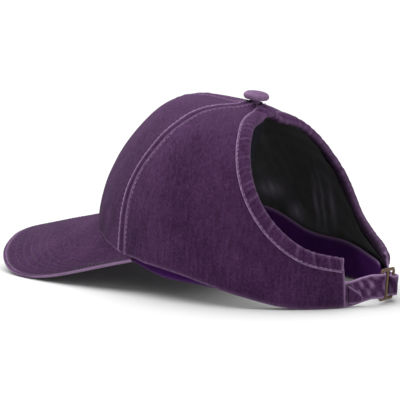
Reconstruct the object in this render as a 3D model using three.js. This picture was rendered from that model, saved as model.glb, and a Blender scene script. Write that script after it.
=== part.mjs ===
// A ponytail baseball cap lying on a table: four crown panels, a large taped opening at the back,
// a curved peak, a sweatband, a lining, a covered button and a strap with a slide buckle.
// Millimetres. The peak points to -Y, the wearer's left is +X and the table is z = 0.
import * as THREE from "three";
import { mergeVertices } from "three/addons/utils/BufferGeometryUtils.js";

// Head and crown
const headWidth = 156.2; // across the crown's lower edge
const frontDepth = 101.7; // from the widest line to the centre front
const rearDepth = 98.8; // from the widest line to the centre back
const crownHeight = 114.9; // table to the crown's own apex
const apexBack = 7.5; // how far the apex lies behind the widest line
const foreheadHump = 8.2; // how far the front panels swell above a plain dome
const napeDip = 5.8; // how far the crown falls away behind the button
const apexRise = 2.5; // the knot of seams under the button
const apexRiseWidth = 9;
const clothThickness = 1.2;
const layerGap = 0.5; // between two layers of cloth
const seamGap = 0.4; // between two panels

// Ponytail opening and its binding
const rearGap = 50.5; // between the crown's two rear ends
const rearEndHeight = 28.9;
const rightEndDrop = 2.7; // the right end hangs lower than the left
const bindingWidth = 9;
const bindingThickness = 1;
const bindingGap = 1; // between its leaves and the panels
const foldRoom = 2.1; // between its fold and the panels' edge

// Peak
const peakLength = 72.2; // in front of the crown's centre front
const peakCornerAngle = 71.6; // degrees round the head from the centre front
const peakThickness = 3;
const peakSlope = 0.24; // fall for each millimetre forward
const peakBendRadius = 97.8; // across the peak
const peakSquareness = 0.5; // 1 is pointed, 0 is square
const peakShoulder = 6.3; // how far its sides swell
const peakTuck = 2.3; // how far its inner edge reaches under the crown

// Sweatband and lining
const sweatbandHeight = 20.5;
const sweatbandThickness = 1.5;
const sweatbandHang = 6.5; // at the sides, below the crown's edge
const liningThickness = 1;
const liningTuck = 2; // behind the sweatband's upper edge

// Button
const buttonDiameter = 16;
const buttonThickness = 5;
const buttonLean = 8; // degrees, towards the back
const apexHole = 4; // radius of the hole in the seams below the button

// Strap, tab, buckle and loop
const strapHeight = 17.3;
const strapThickness = 1.2;
const strapRoot = 12; // sewn length under a panel's end
const strapBulge = 6; // how far the closure stands out behind the crown, at the buckle
const strapLean = 0.18; // outward lean of the closure for each millimetre of height
const strapNarrowing = 1.6; // how much lower it is inside the buckle
const strapDrop = 2.2; // how much lower the strap is where it is sewn
const closureSkew = 1.7; // moves the closure's fullest place from the middle to the buckle
const buckleAcross = 16;
const buckleBar = 2;
const buckleThickness = 1.6;
const buckleAt = 0.1; // share of the rear gap, from the middle towards the right end
const buckleClearance = 0.35;
const buckleStand = 1.6; // of its lower bar above the table
const tabLength = 9.5;
const tabHeight = 11;

const halfTurn = Math.PI;
const quarterTurn = Math.PI / 2;
const radians = THREE.MathUtils.degToRad;
const degrees = THREE.MathUtils.radToDeg;

// How square the dome is: seen from above, and seen from the side. 2 is an ellipse.
const FULLNESS = {
  front: { plan: 2.64, rise: 2.52 },
  rear: { plan: 1.67, rise: 1.98 },
};

// Height of the crown's lower edge behind the peak's corners, in shares of the crown's height, at
// equal steps round the head from a corner to the centre back. The right side has sunk lower.
const EDGE_RISE = [
  { left: 0.152, right: 0.035 },
  { left: 0.073, right: 0.012 },
  { left: 0.007, right: 0.006 },
  { left: 0.0035, right: 0.0035 },
  { left: 0, right: 0 },
];

// The front seam: degrees round the head at equal steps from the edge to the apex.
const FRONT_SEAM = [65.4, 61.5, 68.8, 74.6];

// The opening's edge above the rear end: degrees from the centre back, and how far up the dome,
// where 0 is the lower edge and 90 the apex.
const OPENING = [
  { fromBack: 36.7, up: 17.8 },
  { fromBack: 50.5, up: 26.4 },
  { fromBack: 58.2, up: 39.5 },
  { fromBack: 60, up: 56.1 },
  { fromBack: 55.7, up: 69.9 },
  { fromBack: 36.2, up: 77.9 },
  { fromBack: 0, up: 79.6 },
];

// Dents: where each lies, how far it spreads both ways, and its push in shares of the crown's
// height. Angles are in degrees, round the head and up the dome.
const DENTS = [
  { round: 132, up: 51.6, spread: 13, tall: 29.8, push: -0.033 },
  { round: -132, up: 51.6, spread: 13, tall: 29.8, push: -0.053 },
  { round: -142, up: 21.8, spread: 20, tall: 12.6, push: -0.05 },
  { round: 41, up: 33, spread: 32, tall: 28, push: -0.052 },
  { round: -41, up: 33, spread: 32, tall: 28, push: -0.052 },
];

// A smooth curve through equally spaced values, read at a share t of its length.
function valueAlong(values, t) {
  const curve = new THREE.SplineCurve(values.map((value) => new THREE.Vector2(value, 0)));
  return curve.getPoint(THREE.MathUtils.clamp(t, 0, 1)).x;
}

// The head ellipse: the crown's lower edge seen from above.
function headPoint(turn) {
  const depth = Math.cos(turn) > 0 ? frontDepth : rearDepth;
  return new THREE.Vector2((headWidth / 2) * Math.sin(turn), -depth * Math.cos(turn));
}

// The way straight out from the head ellipse, level with the table.
function headOutward(turn) {
  const depth = Math.cos(turn) > 0 ? frontDepth : rearDepth;
  return new THREE.Vector3(Math.sin(turn) / headWidth * 2, -Math.cos(turn) / depth, 0).normalize();
}

// The peak's upper face is a cylinder bent across, sloping down to the front.
function peakDrop(x, y) {
  const bend = peakBendRadius - Math.sqrt(Math.max(peakBendRadius ** 2 - x * x, 1));
  return peakSlope * (y + frontDepth) - bend;
}

function peakNormal(x) {
  const across = -x / Math.sqrt(Math.max(peakBendRadius ** 2 - x * x, 1));
  return new THREE.Vector3(-across, -peakSlope, 1).normalize();
}

// The peak's rim, from its right corner (-1) through the tip (0) to its left corner (1).
function peakRim(share) {
  const corner = headPoint(radians(peakCornerAngle));
  const tip = -frontDepth - peakLength;
  const reach = 1 - share * share;
  const swing = Math.sign(share) * Math.acos(reach ** (1 / peakSquareness));
  const x = corner.x * Math.sin(swing) + peakShoulder * Math.sin(2 * swing);
  return new THREE.Vector2(x, THREE.MathUtils.lerp(corner.y, tip, reach));
}

// The same share along the peak's inner edge, under the crown.
function peakRoot(share) {
  const reach = 1 - share * share;
  const swing = Math.sign(share) * Math.acos(reach ** (1 / peakSquareness));
  const turn = radians(peakCornerAngle) * Math.sin(swing);
  const inward = -peakTuck * Math.min(1, reach * 4);
  const out = headOutward(turn);
  return headPoint(turn).add(new THREE.Vector2(out.x, out.y).multiplyScalar(inward));
}

// The crown's front edge is as high as lets the peak's lowest point stand on the table.
const peakShares = shares(32).map((share) => 2 * share - 1);
const lowestPeak = Math.min(...peakShares.map((share) => {
  const rim = peakRim(share);
  return peakDrop(rim.x, rim.y) - peakThickness * peakNormal(rim.x).z;
}));
const frontEdgeHeight = -lowestPeak;

const rearEndTurn = halfTurn - Math.asin(rearGap / headWidth);

// Height of the crown's lower edge: on the peak in front, and down to the table at the back.
function edgeHeight(turn) {
  const round = Math.abs(turn);
  const corner = radians(peakCornerAngle);
  const at = headPoint(Math.min(round, corner));
  const onPeak = frontEdgeHeight + peakDrop(at.x, at.y);
  if (round < corner) return onPeak;
  const side = turn > 0 ? "left" : "right";
  const rises = [onPeak, ...EDGE_RISE.map((row) => row[side] * crownHeight)];
  return valueAlong(rises, (round - corner) / (halfTurn - corner));
}

// A turn brought between minus half a turn and half a turn.
function wrap(turn) {
  return turn - 2 * halfTurn * Math.round(turn / (2 * halfTurn));
}

function fullness(turn) {
  const front = 0.5 + 0.5 * Math.cos(turn);
  const mix = THREE.MathUtils.lerp;
  return {
    front,
    plan: mix(FULLNESS.rear.plan, FULLNESS.front.plan, front),
    rise: mix(FULLNESS.rear.rise, FULLNESS.front.rise, front),
  };
}

// The crown's outer face: a dome over the head ellipse, worked out from the turn round the head
// and the lift up the dome, with the forehead's hump, the fall at the nape and the dents.
function crownPoint(anyTurn, lift) {
  const turn = wrap(anyTurn);
  const up = THREE.MathUtils.clamp(lift, 0, quarterTurn);
  const full = fullness(turn);
  const spread = Math.cos(up) ** (2 / full.plan);
  const climb = Math.sin(up) ** (2 / full.rise);
  const edge = headPoint(turn);
  const x = edge.x * spread;
  const y = apexBack + (edge.y - apexBack) * spread;
  const low = edgeHeight(turn);
  const rear = 1 - full.front;
  const hump = foreheadHump * full.front ** 2 * Math.sin(halfTurn * spread) ** 2;
  const dip = napeDip * rear ** 2 * Math.sin(halfTurn * Math.sqrt(spread)) ** 2;
  const knot = apexRise * Math.exp(-(((x * x + (y - apexBack) ** 2) / apexRiseWidth ** 2)));
  const z = low + (crownHeight - low) * climb + hump - dip + knot;
  const point = new THREE.Vector3(x, y, z);
  const outward = point.clone().sub(new THREE.Vector3(0, apexBack, rearEndHeight)).normalize();
  let push = 0;
  for (const dent of DENTS) {
    const aside = (degrees(turn) - dent.round) / dent.spread;
    const above = (degrees(up) - dent.up) / dent.tall;
    push += dent.push * crownHeight * Math.exp(-aside * aside - above * above);
  }
  return point.addScaledVector(outward, push);
}

// Places on the dome are also kept as a flat chart about the apex, which has no pole there.
function toChart(place) {
  const far = quarterTurn - place.lift;
  return new THREE.Vector2(far * Math.sin(place.turn), -far * Math.cos(place.turn));
}

function fromChart(chart) {
  return { turn: Math.atan2(chart.x, -chart.y), lift: quarterTurn - chart.length() };
}

// The two ways along the dome at a place, as changes for a unit of the chart.
function slopes(place) {
  const step = 1e-3;
  const at = toChart(place);
  const difference = (dx, dy) => {
    const ahead = fromChart(at.clone().add(new THREE.Vector2(dx, dy)));
    const behind = fromChart(at.clone().sub(new THREE.Vector2(dx, dy)));
    const low = Math.max(0, -Math.min(ahead.lift, behind.lift));
    return crownPoint(ahead.turn, ahead.lift + low)
      .sub(crownPoint(behind.turn, behind.lift + low))
      .divideScalar(2 * step);
  };
  return [difference(step, 0), difference(0, step)];
}

function crownNormal(place) {
  const inside = { turn: place.turn, lift: Math.max(place.lift, 0.01) };
  const [across, along] = slopes(inside);
  return across.cross(along).normalize();
}

// A point of the crown cloth, so far inside its outer face.
function layerPoint(place, depth) {
  return crownPoint(place.turn, place.lift).addScaledVector(crownNormal(place), -depth);
}

// Walks over the dome by a distance, holding a direction in space as nearly as the dome allows.
function walk(place, direction, distance) {
  const steps = 6;
  let chart = toChart(place);
  for (let i = 0; i < steps; i++) {
    const [across, along] = slopes(fromChart(chart));
    const a = across.dot(across);
    const b = across.dot(along);
    const c = along.dot(along);
    const u = (across.dot(direction) * distance) / steps;
    const v = (along.dot(direction) * distance) / steps;
    const scale = a * c - b * b;
    chart = chart.add(new THREE.Vector2((c * u - b * v) / scale, (a * v - b * u) / scale));
  }
  return fromChart(chart);
}

// The lift at a height above the crown's lower edge, and at a distance from the apex.
function liftAtHeight(turn, height) {
  const room = crownHeight - edgeHeight(wrap(turn));
  return Math.asin(Math.max(height / room, 0) ** (fullness(wrap(turn)).rise / 2));
}

function liftAtRadius(turn, radius) {
  const edge = headPoint(wrap(turn));
  const reach = Math.hypot(edge.x, edge.y - apexBack);
  return Math.acos((radius / reach) ** (fullness(wrap(turn)).plan / 2));
}

// The opening's edge, from a rear end (0) to the top centre (1). Turns run past half a turn on
// the right side, so that the two sides join there.
function openingPlace(side, t) {
  const height = side > 0 ? rearEndHeight : rearEndHeight - rightEndDrop;
  const rows = [
    { fromBack: degrees(halfTurn - rearEndTurn), up: degrees(liftAtHeight(rearEndTurn, height)) },
    ...OPENING,
  ];
  const curve = new THREE.SplineCurve(
    rows.map((row) => new THREE.Vector2(radians(row.fromBack), radians(row.up))),
  );
  const at = curve.getPoint(t);
  return { turn: halfTurn - side * at.x, lift: at.y };
}

// The direction on the dome that leads away from the opening, square to its edge.
function awayFromOpening(side, t) {
  const step = 0.01;
  const before = openingPlace(side, Math.max(t - step, 0));
  const after = openingPlace(side, Math.min(t + step, 1));
  const along = crownPoint(after.turn, after.lift).sub(crownPoint(before.turn, before.lift));
  if (t + step > 1) along.set(-side, 0, 0);
  return along.cross(crownNormal(openingPlace(side, t))).multiplyScalar(-side).normalize();
}

// Closed surfaces

// A closed surface with doubled corners joined, empty faces dropped and its right side out.
function closed(raw) {
  raw.deleteAttribute("uv");
  raw.deleteAttribute("normal");
  const merged = mergeVertices(raw, 1e-3);
  const index = merged.index.array;
  const kept = [];
  for (let i = 0; i < index.length; i += 3) {
    const [a, b, c] = [index[i], index[i + 1], index[i + 2]];
    if (a !== b && b !== c && c !== a) kept.push(a, b, c);
  }
  merged.setIndex(kept);
  if (heldVolume(merged) < 0) {
    for (let i = 0; i < kept.length; i += 3) [kept[i + 1], kept[i + 2]] = [kept[i + 2], kept[i + 1]];
    merged.setIndex(kept);
  }
  merged.computeVertexNormals();
  return merged;
}

// Six times the volume inside a closed surface, which is negative if it is inside out.
function heldVolume(geometry) {
  const at = geometry.attributes.position;
  const index = geometry.index.array;
  const corner = (i) => new THREE.Vector3().fromBufferAttribute(at, index[i]);
  let volume = 0;
  for (let i = 0; i < index.length; i += 3) {
    volume += corner(i).dot(corner(i + 1).cross(corner(i + 2)));
  }
  return volume;
}

// A solid from a list of corners and a list of faces.
function solid(points, faces) {
  return closed(new THREE.BufferGeometry().setFromPoints(points).setIndex(faces.flat()));
}

// A wall between two grids of points, each [column][row], closed round its border.
function wall(outer, inner) {
  const columns = outer.length;
  const rows = outer[0].length;
  const points = [...outer.flat(), ...inner.flat()];
  const out = (i, j) => i * rows + j;
  const within = (i, j) => columns * rows + i * rows + j;
  const faces = [];
  const quad = (a, b, c, d) => faces.push([a, b, c], [a, c, d]);
  for (let i = 0; i + 1 < columns; i++) {
    for (let j = 0; j + 1 < rows; j++) {
      quad(out(i, j), out(i + 1, j), out(i + 1, j + 1), out(i, j + 1));
      quad(within(i, j), within(i, j + 1), within(i + 1, j + 1), within(i + 1, j));
    }
    quad(out(i, 0), within(i, 0), within(i + 1, 0), out(i + 1, 0));
    quad(out(i, rows - 1), out(i + 1, rows - 1), within(i + 1, rows - 1), within(i, rows - 1));
  }
  for (let j = 0; j + 1 < rows; j++) {
    quad(out(0, j), out(0, j + 1), within(0, j + 1), within(0, j));
    quad(out(columns - 1, j), within(columns - 1, j), within(columns - 1, j + 1),
      out(columns - 1, j + 1));
  }
  return solid(points, faces);
}

// A solid carried along sections of as many points each, capped by the section's own outline.
function loft(sections, outline) {
  const count = outline.length;
  const last = (sections.length - 1) * count;
  const faces = [];
  for (let i = 0; i + 1 < sections.length; i++) {
    for (let j = 0; j < count; j++) {
      const k = (j + 1) % count;
      const [a, b, c, d] = [i * count + j, i * count + k, (i + 1) * count + k, (i + 1) * count + j];
      faces.push([a, b, c], [a, c, d]);
    }
  }
  for (const [a, b, c] of THREE.ShapeUtils.triangulateShape(outline, [])) {
    faces.push([c, b, a], [last + a, last + b, last + c]);
  }
  return solid(sections.flat(), faces);
}

function shares(count) {
  return Array.from({ length: count + 1 }, (_, i) => i / count);
}

// Pieces of the crown

// A panel's lower edge, which stops a gap above the peak.
function footPoint(turn, depth) {
  const point = layerPoint({ turn, lift: 0 }, depth);
  const pastPeak = (degrees(Math.abs(wrap(turn))) - peakCornerAngle) / 5;
  const onPeak = frontEdgeHeight + peakDrop(point.x, point.y) + layerGap;
  point.z += Math.max(onPeak - point.z, 0) * THREE.MathUtils.clamp(1.4 - pastPeak, 0, 1);
  return point;
}

// A turn moved aside by half a seam's gap, at that distance from the apex.
function besideSeam(turn, lift, way) {
  const at = crownPoint(turn, lift);
  return turn + (way * seamGap) / 2 / Math.hypot(at.x, at.y - apexBack);
}

function frontSeamTurn(lift) {
  return radians(valueAlong(FRONT_SEAM, lift / quarterTurn));
}

// A line up the dome from the foot to the hole at the apex, beside a seam.
function seamLine(turnAt, way, rows) {
  return shares(rows).map((share) => {
    const lift = share * liftAtRadius(turnAt(quarterTurn), apexHole);
    return { turn: besideSeam(turnAt(lift), lift, way), lift };
  });
}

const rearRows = 2;
const openingRows = 18;
const crestRows = 2;
const panelRows = rearRows + openingRows + crestRows;

// A side panel's rear line: up its rear end, round the opening inside the binding's fold, and
// along the centre back to the hole at the apex.
function rearLine(side) {
  const clear = bindingThickness + foldRoom;
  const inside = (t) => walk(openingPlace(side, t), awayFromOpening(side, t), clear);
  const first = inside(0);
  const line = [];
  for (const share of shares(rearRows).slice(0, -1)) {
    line.push({ turn: first.turn, lift: share * first.lift });
  }
  for (const t of shares(openingRows)) line.push(inside(t));
  const top = line[line.length - 1];
  const hole = liftAtRadius(halfTurn, apexHole);
  for (const share of shares(crestRows).slice(1)) {
    line.push({ turn: halfTurn, lift: THREE.MathUtils.lerp(top.lift, hole, share) });
  }
  return line.map((place, row) => {
    const turn = side > 0 ? positive(place.turn) : positive(-place.turn);
    const limit = besideSeam(halfTurn, place.lift, -1);
    return { turn: row < rearRows ? turn : Math.min(turn, limit), lift: place.lift };
  });
}

function positive(turn) {
  return turn < 0 ? turn + 2 * halfTurn : turn;
}

// A panel between two lines up the dome, given for the left side and mirrored for the right.
function panel(side, frontLine, backLine, columns) {
  const grid = (depth) => shares(columns).map((share) => frontLine.map((front, row) => {
    const back = backLine[row];
    const turn = side * THREE.MathUtils.lerp(front.turn, back.turn, share);
    const lift = THREE.MathUtils.lerp(front.lift, back.lift, share);
    return row === 0 ? footPoint(turn, depth) : layerPoint({ turn, lift }, depth);
  }));
  return wall(grid(0), grid(clothThickness));
}

function frontPanel(side) {
  const centre = seamLine(() => 0, 1, 14);
  const seam = seamLine(frontSeamTurn, -1, 14);
  return panel(side, centre, seam, 8);
}

function sidePanel(side) {
  return panel(side, seamLine(frontSeamTurn, 1, panelRows), rearLine(side), 16);
}

// The binding: a folded tape round the opening's edge, with a leaf outside and one inside.
function binding() {
  const outside = bindingGap + bindingThickness;
  const insideLow = clothThickness + bindingGap;
  const insideHigh = insideLow + bindingThickness;
  const half = bindingWidth / 2;
  const round = bindingThickness / 2;
  const outline = [
    [bindingWidth, outside], [half, outside], [round, outside], [0, outside - round],
    [0, round - insideHigh], [round, -insideHigh], [half, -insideHigh],
    [bindingWidth, -insideHigh], [bindingWidth, -insideLow], [half, -insideLow],
    [bindingThickness, -insideLow], [bindingThickness, bindingGap], [half, bindingGap],
    [bindingWidth, bindingGap],
  ].map(([across, out]) => new THREE.Vector2(across, out));
  const section = (side, t) => {
    const away = awayFromOpening(side, t);
    return outline.map((corner) => {
      const place = walk(openingPlace(side, t), away, corner.x);
      return layerPoint(place, -corner.y);
    });
  };
  const steps = shares(1.5 * openingRows);
  const left = steps.map((t) => section(1, t));
  const right = steps.slice(0, -1).map((t) => section(-1, t)).reverse();
  return loft([...left, ...right], outline);
}

// The lining: inside the panels, from behind the sweatband's edge up to the apex, and as far back
// as the binding's inner leaf.
function lining() {
  const outer = clothThickness + bindingGap;
  const reach = bindingWidth + 2 * liningThickness;
  const border = (side) => shares(40).map((t) => {
    const place = walk(openingPlace(side, t), awayFromOpening(side, t), reach);
    return { turn: positive(side * place.turn), lift: place.lift };
  });
  const borders = { 1: border(1), "-1": border(-1) };
  const backTurn = (side, lift) => {
    const line = borders[side];
    const above = line.findIndex((place) => place.lift > lift);
    if (above < 0) return line[line.length - 1].turn;
    if (above === 0) return line[0].turn;
    const [low, high] = [line[above - 1], line[above]];
    const share = (lift - low.lift) / (high.lift - low.lift);
    return THREE.MathUtils.lerp(low.turn, high.turn, share);
  };
  const rows = shares(13);
  const grid = (depth) => shares(44).map((share) => rows.map((up) => {
    const place = (side, lift) => ({ turn: side * backTurn(side, lift), lift });
    const near = share * 2 - 1;
    const side = near < 0 ? -1 : 1;
    const low = liftAtHeight(near * halfTurn * 0.75, sweatbandHeight - liningTuck);
    const high = liftAtRadius(near * halfTurn * 0.75, 1.8 * apexHole);
    const lift = THREE.MathUtils.lerp(low, high, up);
    return layerPoint({ turn: place(side, lift).turn * Math.abs(near), lift }, depth);
  }));
  return wall(grid(outer), grid(outer + liningThickness));
}

// The sweatband: stands inside the crown's lower edge, and shows below it at the sides.
function sweatband() {
  const outer = clothThickness + 5 * layerGap + strapThickness;
  const end = rearEndTurn - radians(3);
  const grid = (depth) => shares(56).map((share) => {
    const turn = THREE.MathUtils.lerp(-end, end, share);
    const aside = (degrees(Math.abs(turn)) - 86) / 18;
    const hang = sweatbandHang * Math.exp(-aside * aside);
    return shares(5).map((up) => {
      const place = { turn, lift: liftAtHeight(turn, up * sweatbandHeight) };
      const point = layerPoint(place, depth);
      if (up === 0) point.z = Math.max(point.z - hang, layerGap);
      return point;
    });
  });
  return wall(grid(outer), grid(outer + sweatbandThickness));
}

// The peak: a bent plate between its rim and its inner edge.
function peak() {
  const along = shares(5);
  const grid = (depth) => peakShares.map((share) => along.map((out) => {
    const at = peakRoot(share).lerp(peakRim(share), out);
    const z = frontEdgeHeight + peakDrop(at.x, at.y);
    const normal = peakNormal(at.x);
    if (out === 0) normal.set(0, 0, 1 / normal.z);
    return new THREE.Vector3(at.x, at.y, z).addScaledVector(normal, -depth);
  }));
  return wall(grid(0), grid(peakThickness));
}

// The covered button: a domed disc with a shank through the hole in the seams.
function button() {
  const radius = buttonDiameter / 2;
  const shank = 0.7 * apexHole;
  const foot = -apexRise - clothThickness;
  const profile = [
    [0, foot], [shank, foot], [shank, 0], [radius * 0.85, 0], [radius, buttonThickness * 0.3],
    [radius * 0.97, buttonThickness * 0.6], [radius * 0.8, buttonThickness * 0.85],
    [radius * 0.45, buttonThickness * 0.98], [0, buttonThickness],
  ].map(([x, y]) => new THREE.Vector2(x, y));
  const dome = new THREE.LatheGeometry(profile, 20);
  dome.rotateX(quarterTurn - radians(buttonLean));
  dome.translate(0, apexBack, crownHeight + apexRise + layerGap);
  return closed(dome);
}

// The closure

const buckleHeight = strapHeight + 2 * buckleBar - strapNarrowing;
const buckleMiddle = buckleStand + buckleHeight / 2;

// How much a place round the back stands free of the crown's ends: 0 at them, 1 at the buckle.
function freedom(turn) {
  const start = rearEndTurn + 1.5 / (headWidth / 2);
  const share = (positive(turn) - start) / (2 * (halfTurn - start));
  return Math.sin(halfTurn * THREE.MathUtils.clamp(share, 0, 1) ** closureSkew);
}

// A point of the closure: on the crown's own dome at the ends, and bulging and leaning outwards
// between them.
function closurePoint(turn, height, depth) {
  const place = { turn, lift: liftAtHeight(turn, Math.max(height, 0)) };
  const point = layerPoint(place, depth);
  const out = headOutward(turn);
  const lean = strapLean * (height - strapHeight / 2);
  point.addScaledVector(out, freedom(turn) * (strapBulge + lean));
  point.z = height;
  return point;
}

// Turn of a place on the closure, by its distance along it from the buckle's middle.
const buckleTurn = halfTurn + Math.asin((buckleAt * rearGap) / (headWidth / 2));
const closureTurn = (along) => buckleTurn + along / (headWidth / 2);
const alongTo = (turn) => (turn - buckleTurn) * (headWidth / 2);

const strapDepth = clothThickness + layerGap; // of its outer face where it is sewn
const strapMiddle = strapDepth + strapThickness / 2;

// A frame fixed to the closure at the buckle's middle: along it, up it and out of it.
function buckleFrame() {
  const middle = buckleMiddle;
  const origin = closurePoint(buckleTurn, middle, strapMiddle);
  const along = closurePoint(closureTurn(1), middle, strapMiddle).sub(origin).normalize();
  const up = closurePoint(buckleTurn, middle + 1, strapMiddle).sub(origin).normalize();
  const out = new THREE.Vector3().crossVectors(along, up).normalize();
  up.crossVectors(out, along).normalize();
  return new THREE.Matrix4().makeBasis(along, up, out).setPosition(origin);
}

const flatFrame = buckleFrame();

// A point of what is threaded through the buckle: flat with it there, and on the closure beyond.
function threadedPoint(along, height, out) {
  const free = closurePoint(closureTurn(along), height, strapMiddle - out);
  const flat = new THREE.Vector3(along, height - buckleMiddle, out).applyMatrix4(flatFrame);
  const beyond = THREE.MathUtils.smoothstep(Math.abs(along), buckleAcross / 2, buckleAcross * 0.8);
  return flat.lerp(free, beyond);
}

// A tape threaded through the buckle, along the centre line of its route.
function tape(route, steps, edgesAt) {
  const centre = new THREE.CatmullRomCurve3(
    route.map((row) => new THREE.Vector3(row.along, row.out, 0)), false, "centripetal");
  const grid = (offset) => shares(steps).map((t) => {
    const at = centre.getPoint(t);
    const tangent = centre.getTangent(t);
    const along = at.x - tangent.y * offset;
    const [low, high] = edgesAt(along);
    const out = at.y + tangent.x * offset;
    return shares(2).map((up) => threadedPoint(along, THREE.MathUtils.lerp(low, high, up), out));
  });
  return wall(grid(strapThickness / 2), grid(-strapThickness / 2));
}

const rail = buckleAcross / 2; // from the buckle's middle to the outside of its end rails
const bar = buckleBar / 2; // half its middle bar
const overBar = buckleThickness / 2 + buckleClearance + strapThickness / 2;
const nose = rail - buckleBar - buckleClearance - strapThickness / 2; // of the loop round a rail
const slot = (buckleBar - rail - bar) / 2; // middle of the near slot
const tapeFoot = buckleStand + buckleBar + buckleClearance;

// The strap: over the buckle's near rail, down its near slot, and in under its middle bar and the
// loop.
function strap() {
  const root = alongTo(rearEndTurn);
  const under = overBar + 2 * buckleClearance + strapThickness;
  const route = [
    { along: root - strapRoot, out: 0 },
    { along: root, out: 0 },
    { along: THREE.MathUtils.lerp(root, -rail, 0.5), out: 0 },
    { along: -rail - 2.5, out: overBar * 0.7 },
    { along: -rail, out: overBar },
    { along: -rail + buckleBar, out: overBar },
    { along: slot, out: 0 },
    { along: -bar - 0.5, out: -overBar },
    { along: bar, out: -overBar * 1.1 },
    { along: nose - strapThickness, out: -under },
    { along: rail + 4, out: -under },
  ];
  const top = buckleStand + buckleHeight - buckleBar - buckleClearance;
  return tape(route, 44, (along) => {
    const near = THREE.MathUtils.smoothstep(along, -1.9 * buckleAcross, -rail);
    return [tapeFoot * near, THREE.MathUtils.lerp(strapHeight - strapDrop, top, near)];
  });
}

// The tab: a rounded tongue over the strap's root, just past the left end of the crown.
function tab() {
  const start = alongTo(rearEndTurn) + 2 * seamGap + bindingThickness;
  const outer = clothThickness + layerGap - buckleClearance - strapThickness;
  const foot = 2;
  const grid = (depth) => shares(6).map((share) => {
    const turn = closureTurn(start + tabLength * share);
    const tall = tabHeight * Math.sqrt(Math.max(1 - share ** 3, 0.04));
    const middle = foot + tabHeight / 2;
    return shares(2).map((up) => closurePoint(turn, middle + tall * (up - 0.5), depth));
  });
  return wall(grid(outer), grid(outer + strapThickness));
}

// The loop: sewn under the right end of the crown, folded round the buckle's far rail and ending
// behind itself.
function loop() {
  const end = alongTo(2 * halfTurn - rearEndTurn) - 1;
  const top = rearEndHeight - rightEndDrop - bindingWidth - 2 * layerGap;
  const route = [
    { along: end + strapRoot, out: 0 },
    { along: end + 1, out: 0 },
    { along: end - 1.5, out: overBar },
    { along: rail - buckleBar, out: overBar },
    { along: nose, out: overBar / 2 },
    { along: nose, out: -overBar / 2 },
    { along: rail - buckleBar, out: -overBar },
    { along: end - 2, out: -overBar },
  ];
  return tape(route, 36, () => [tapeFoot, top]);
}

// The buckle: a flat brass frame with a middle bar, as a grid of cells of which two are open.
function buckle() {
  const tall = buckleHeight / 2;
  const columns = [-rail, buckleBar - rail, -bar, bar, rail - buckleBar, rail];
  const rows = [-tall, buckleBar - tall, tall - buckleBar, tall];
  const open = (i, j) => j === 1 && (i === 1 || i === 3);
  const full = (i, j) => i >= 0 && j >= 0 && i < 5 && j < 3 && !open(i, j);
  const points = [];
  for (const z of [-buckleThickness / 2, buckleThickness / 2]) {
    for (const x of columns) for (const y of rows) points.push(new THREE.Vector3(x, y, z));
  }
  const low = (i, j) => i * 4 + j;
  const high = (i, j) => 24 + i * 4 + j;
  const faces = [];
  const quad = (a, b, c, d) => faces.push([a, b, c], [a, c, d]);
  for (let i = 0; i < 5; i++) {
    for (let j = 0; j < 3; j++) {
      if (!full(i, j)) continue;
      quad(high(i, j), high(i + 1, j), high(i + 1, j + 1), high(i, j + 1));
      quad(low(i, j), low(i, j + 1), low(i + 1, j + 1), low(i + 1, j));
      if (!full(i - 1, j)) quad(low(i, j), high(i, j), high(i, j + 1), low(i, j + 1));
      if (!full(i + 1, j)) quad(low(i + 1, j), low(i + 1, j + 1), high(i + 1, j + 1), high(i + 1, j));
      if (!full(i, j - 1)) quad(low(i, j), low(i + 1, j), high(i + 1, j), high(i, j));
      if (!full(i, j + 1)) quad(low(i, j + 1), high(i, j + 1), high(i + 1, j + 1), low(i + 1, j + 1));
    }
  }
  return solid(points.map((point) => point.applyMatrix4(flatFrame)), faces);
}

// Finishes, and the assembly
const washedCotton = { color: 0x4f3851, roughness: 0.95, metalness: 0 };
const wornCotton = { color: 0x6b5270, roughness: 0.95, metalness: 0 };
const violetTwill = { color: 0x35165a, roughness: 0.9, metalness: 0 };
const blackSatin = { color: 0x141216, roughness: 0.45, metalness: 0 };
const agedBrass = { color: 0x6a5440, roughness: 0.45, metalness: 0.9 };

const pieces = [
  ["front_left", frontPanel(1), washedCotton],
  ["front_right", frontPanel(-1), washedCotton],
  ["side_left", sidePanel(1), washedCotton],
  ["side_right", sidePanel(-1), washedCotton],
  ["opening_binding", binding(), wornCotton],
  ["crown_lining", lining(), blackSatin],
  ["sweatband", sweatband(), violetTwill],
  ["peak", peak(), washedCotton],
  ["button", button(), wornCotton],
  ["back_strap", strap(), washedCotton],
  ["strap_tab", tab(), washedCotton],
  ["buckle_loop", loop(), washedCotton],
  ["buckle", buckle(), agedBrass],
];

const cap = new THREE.Group();
cap.name = "ponytail_cap";
for (const [name, geometry, finish] of pieces) {
  const mesh = new THREE.Mesh(geometry, new THREE.MeshStandardMaterial(finish));
  mesh.name = name;
  cap.add(mesh);
}

// The origin is on the table, under the middle of the whole cap.
const box = new THREE.Box3().setFromObject(cap);
const middle = box.getCenter(new THREE.Vector3());
cap.position.set(-middle.x, -middle.y, -box.min.z);

export default cap;
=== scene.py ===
"""The looks of a washed ponytail cap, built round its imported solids.

Lengths are metres. The peak points to -Y, the wearer's left is +X and the table is z = 0. Each
surface is a grid worked out with numpy, from the same sizes and formulas as the solids.
"""
import math

import bpy
import numpy as np
from mathutils import Matrix, Vector


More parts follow.
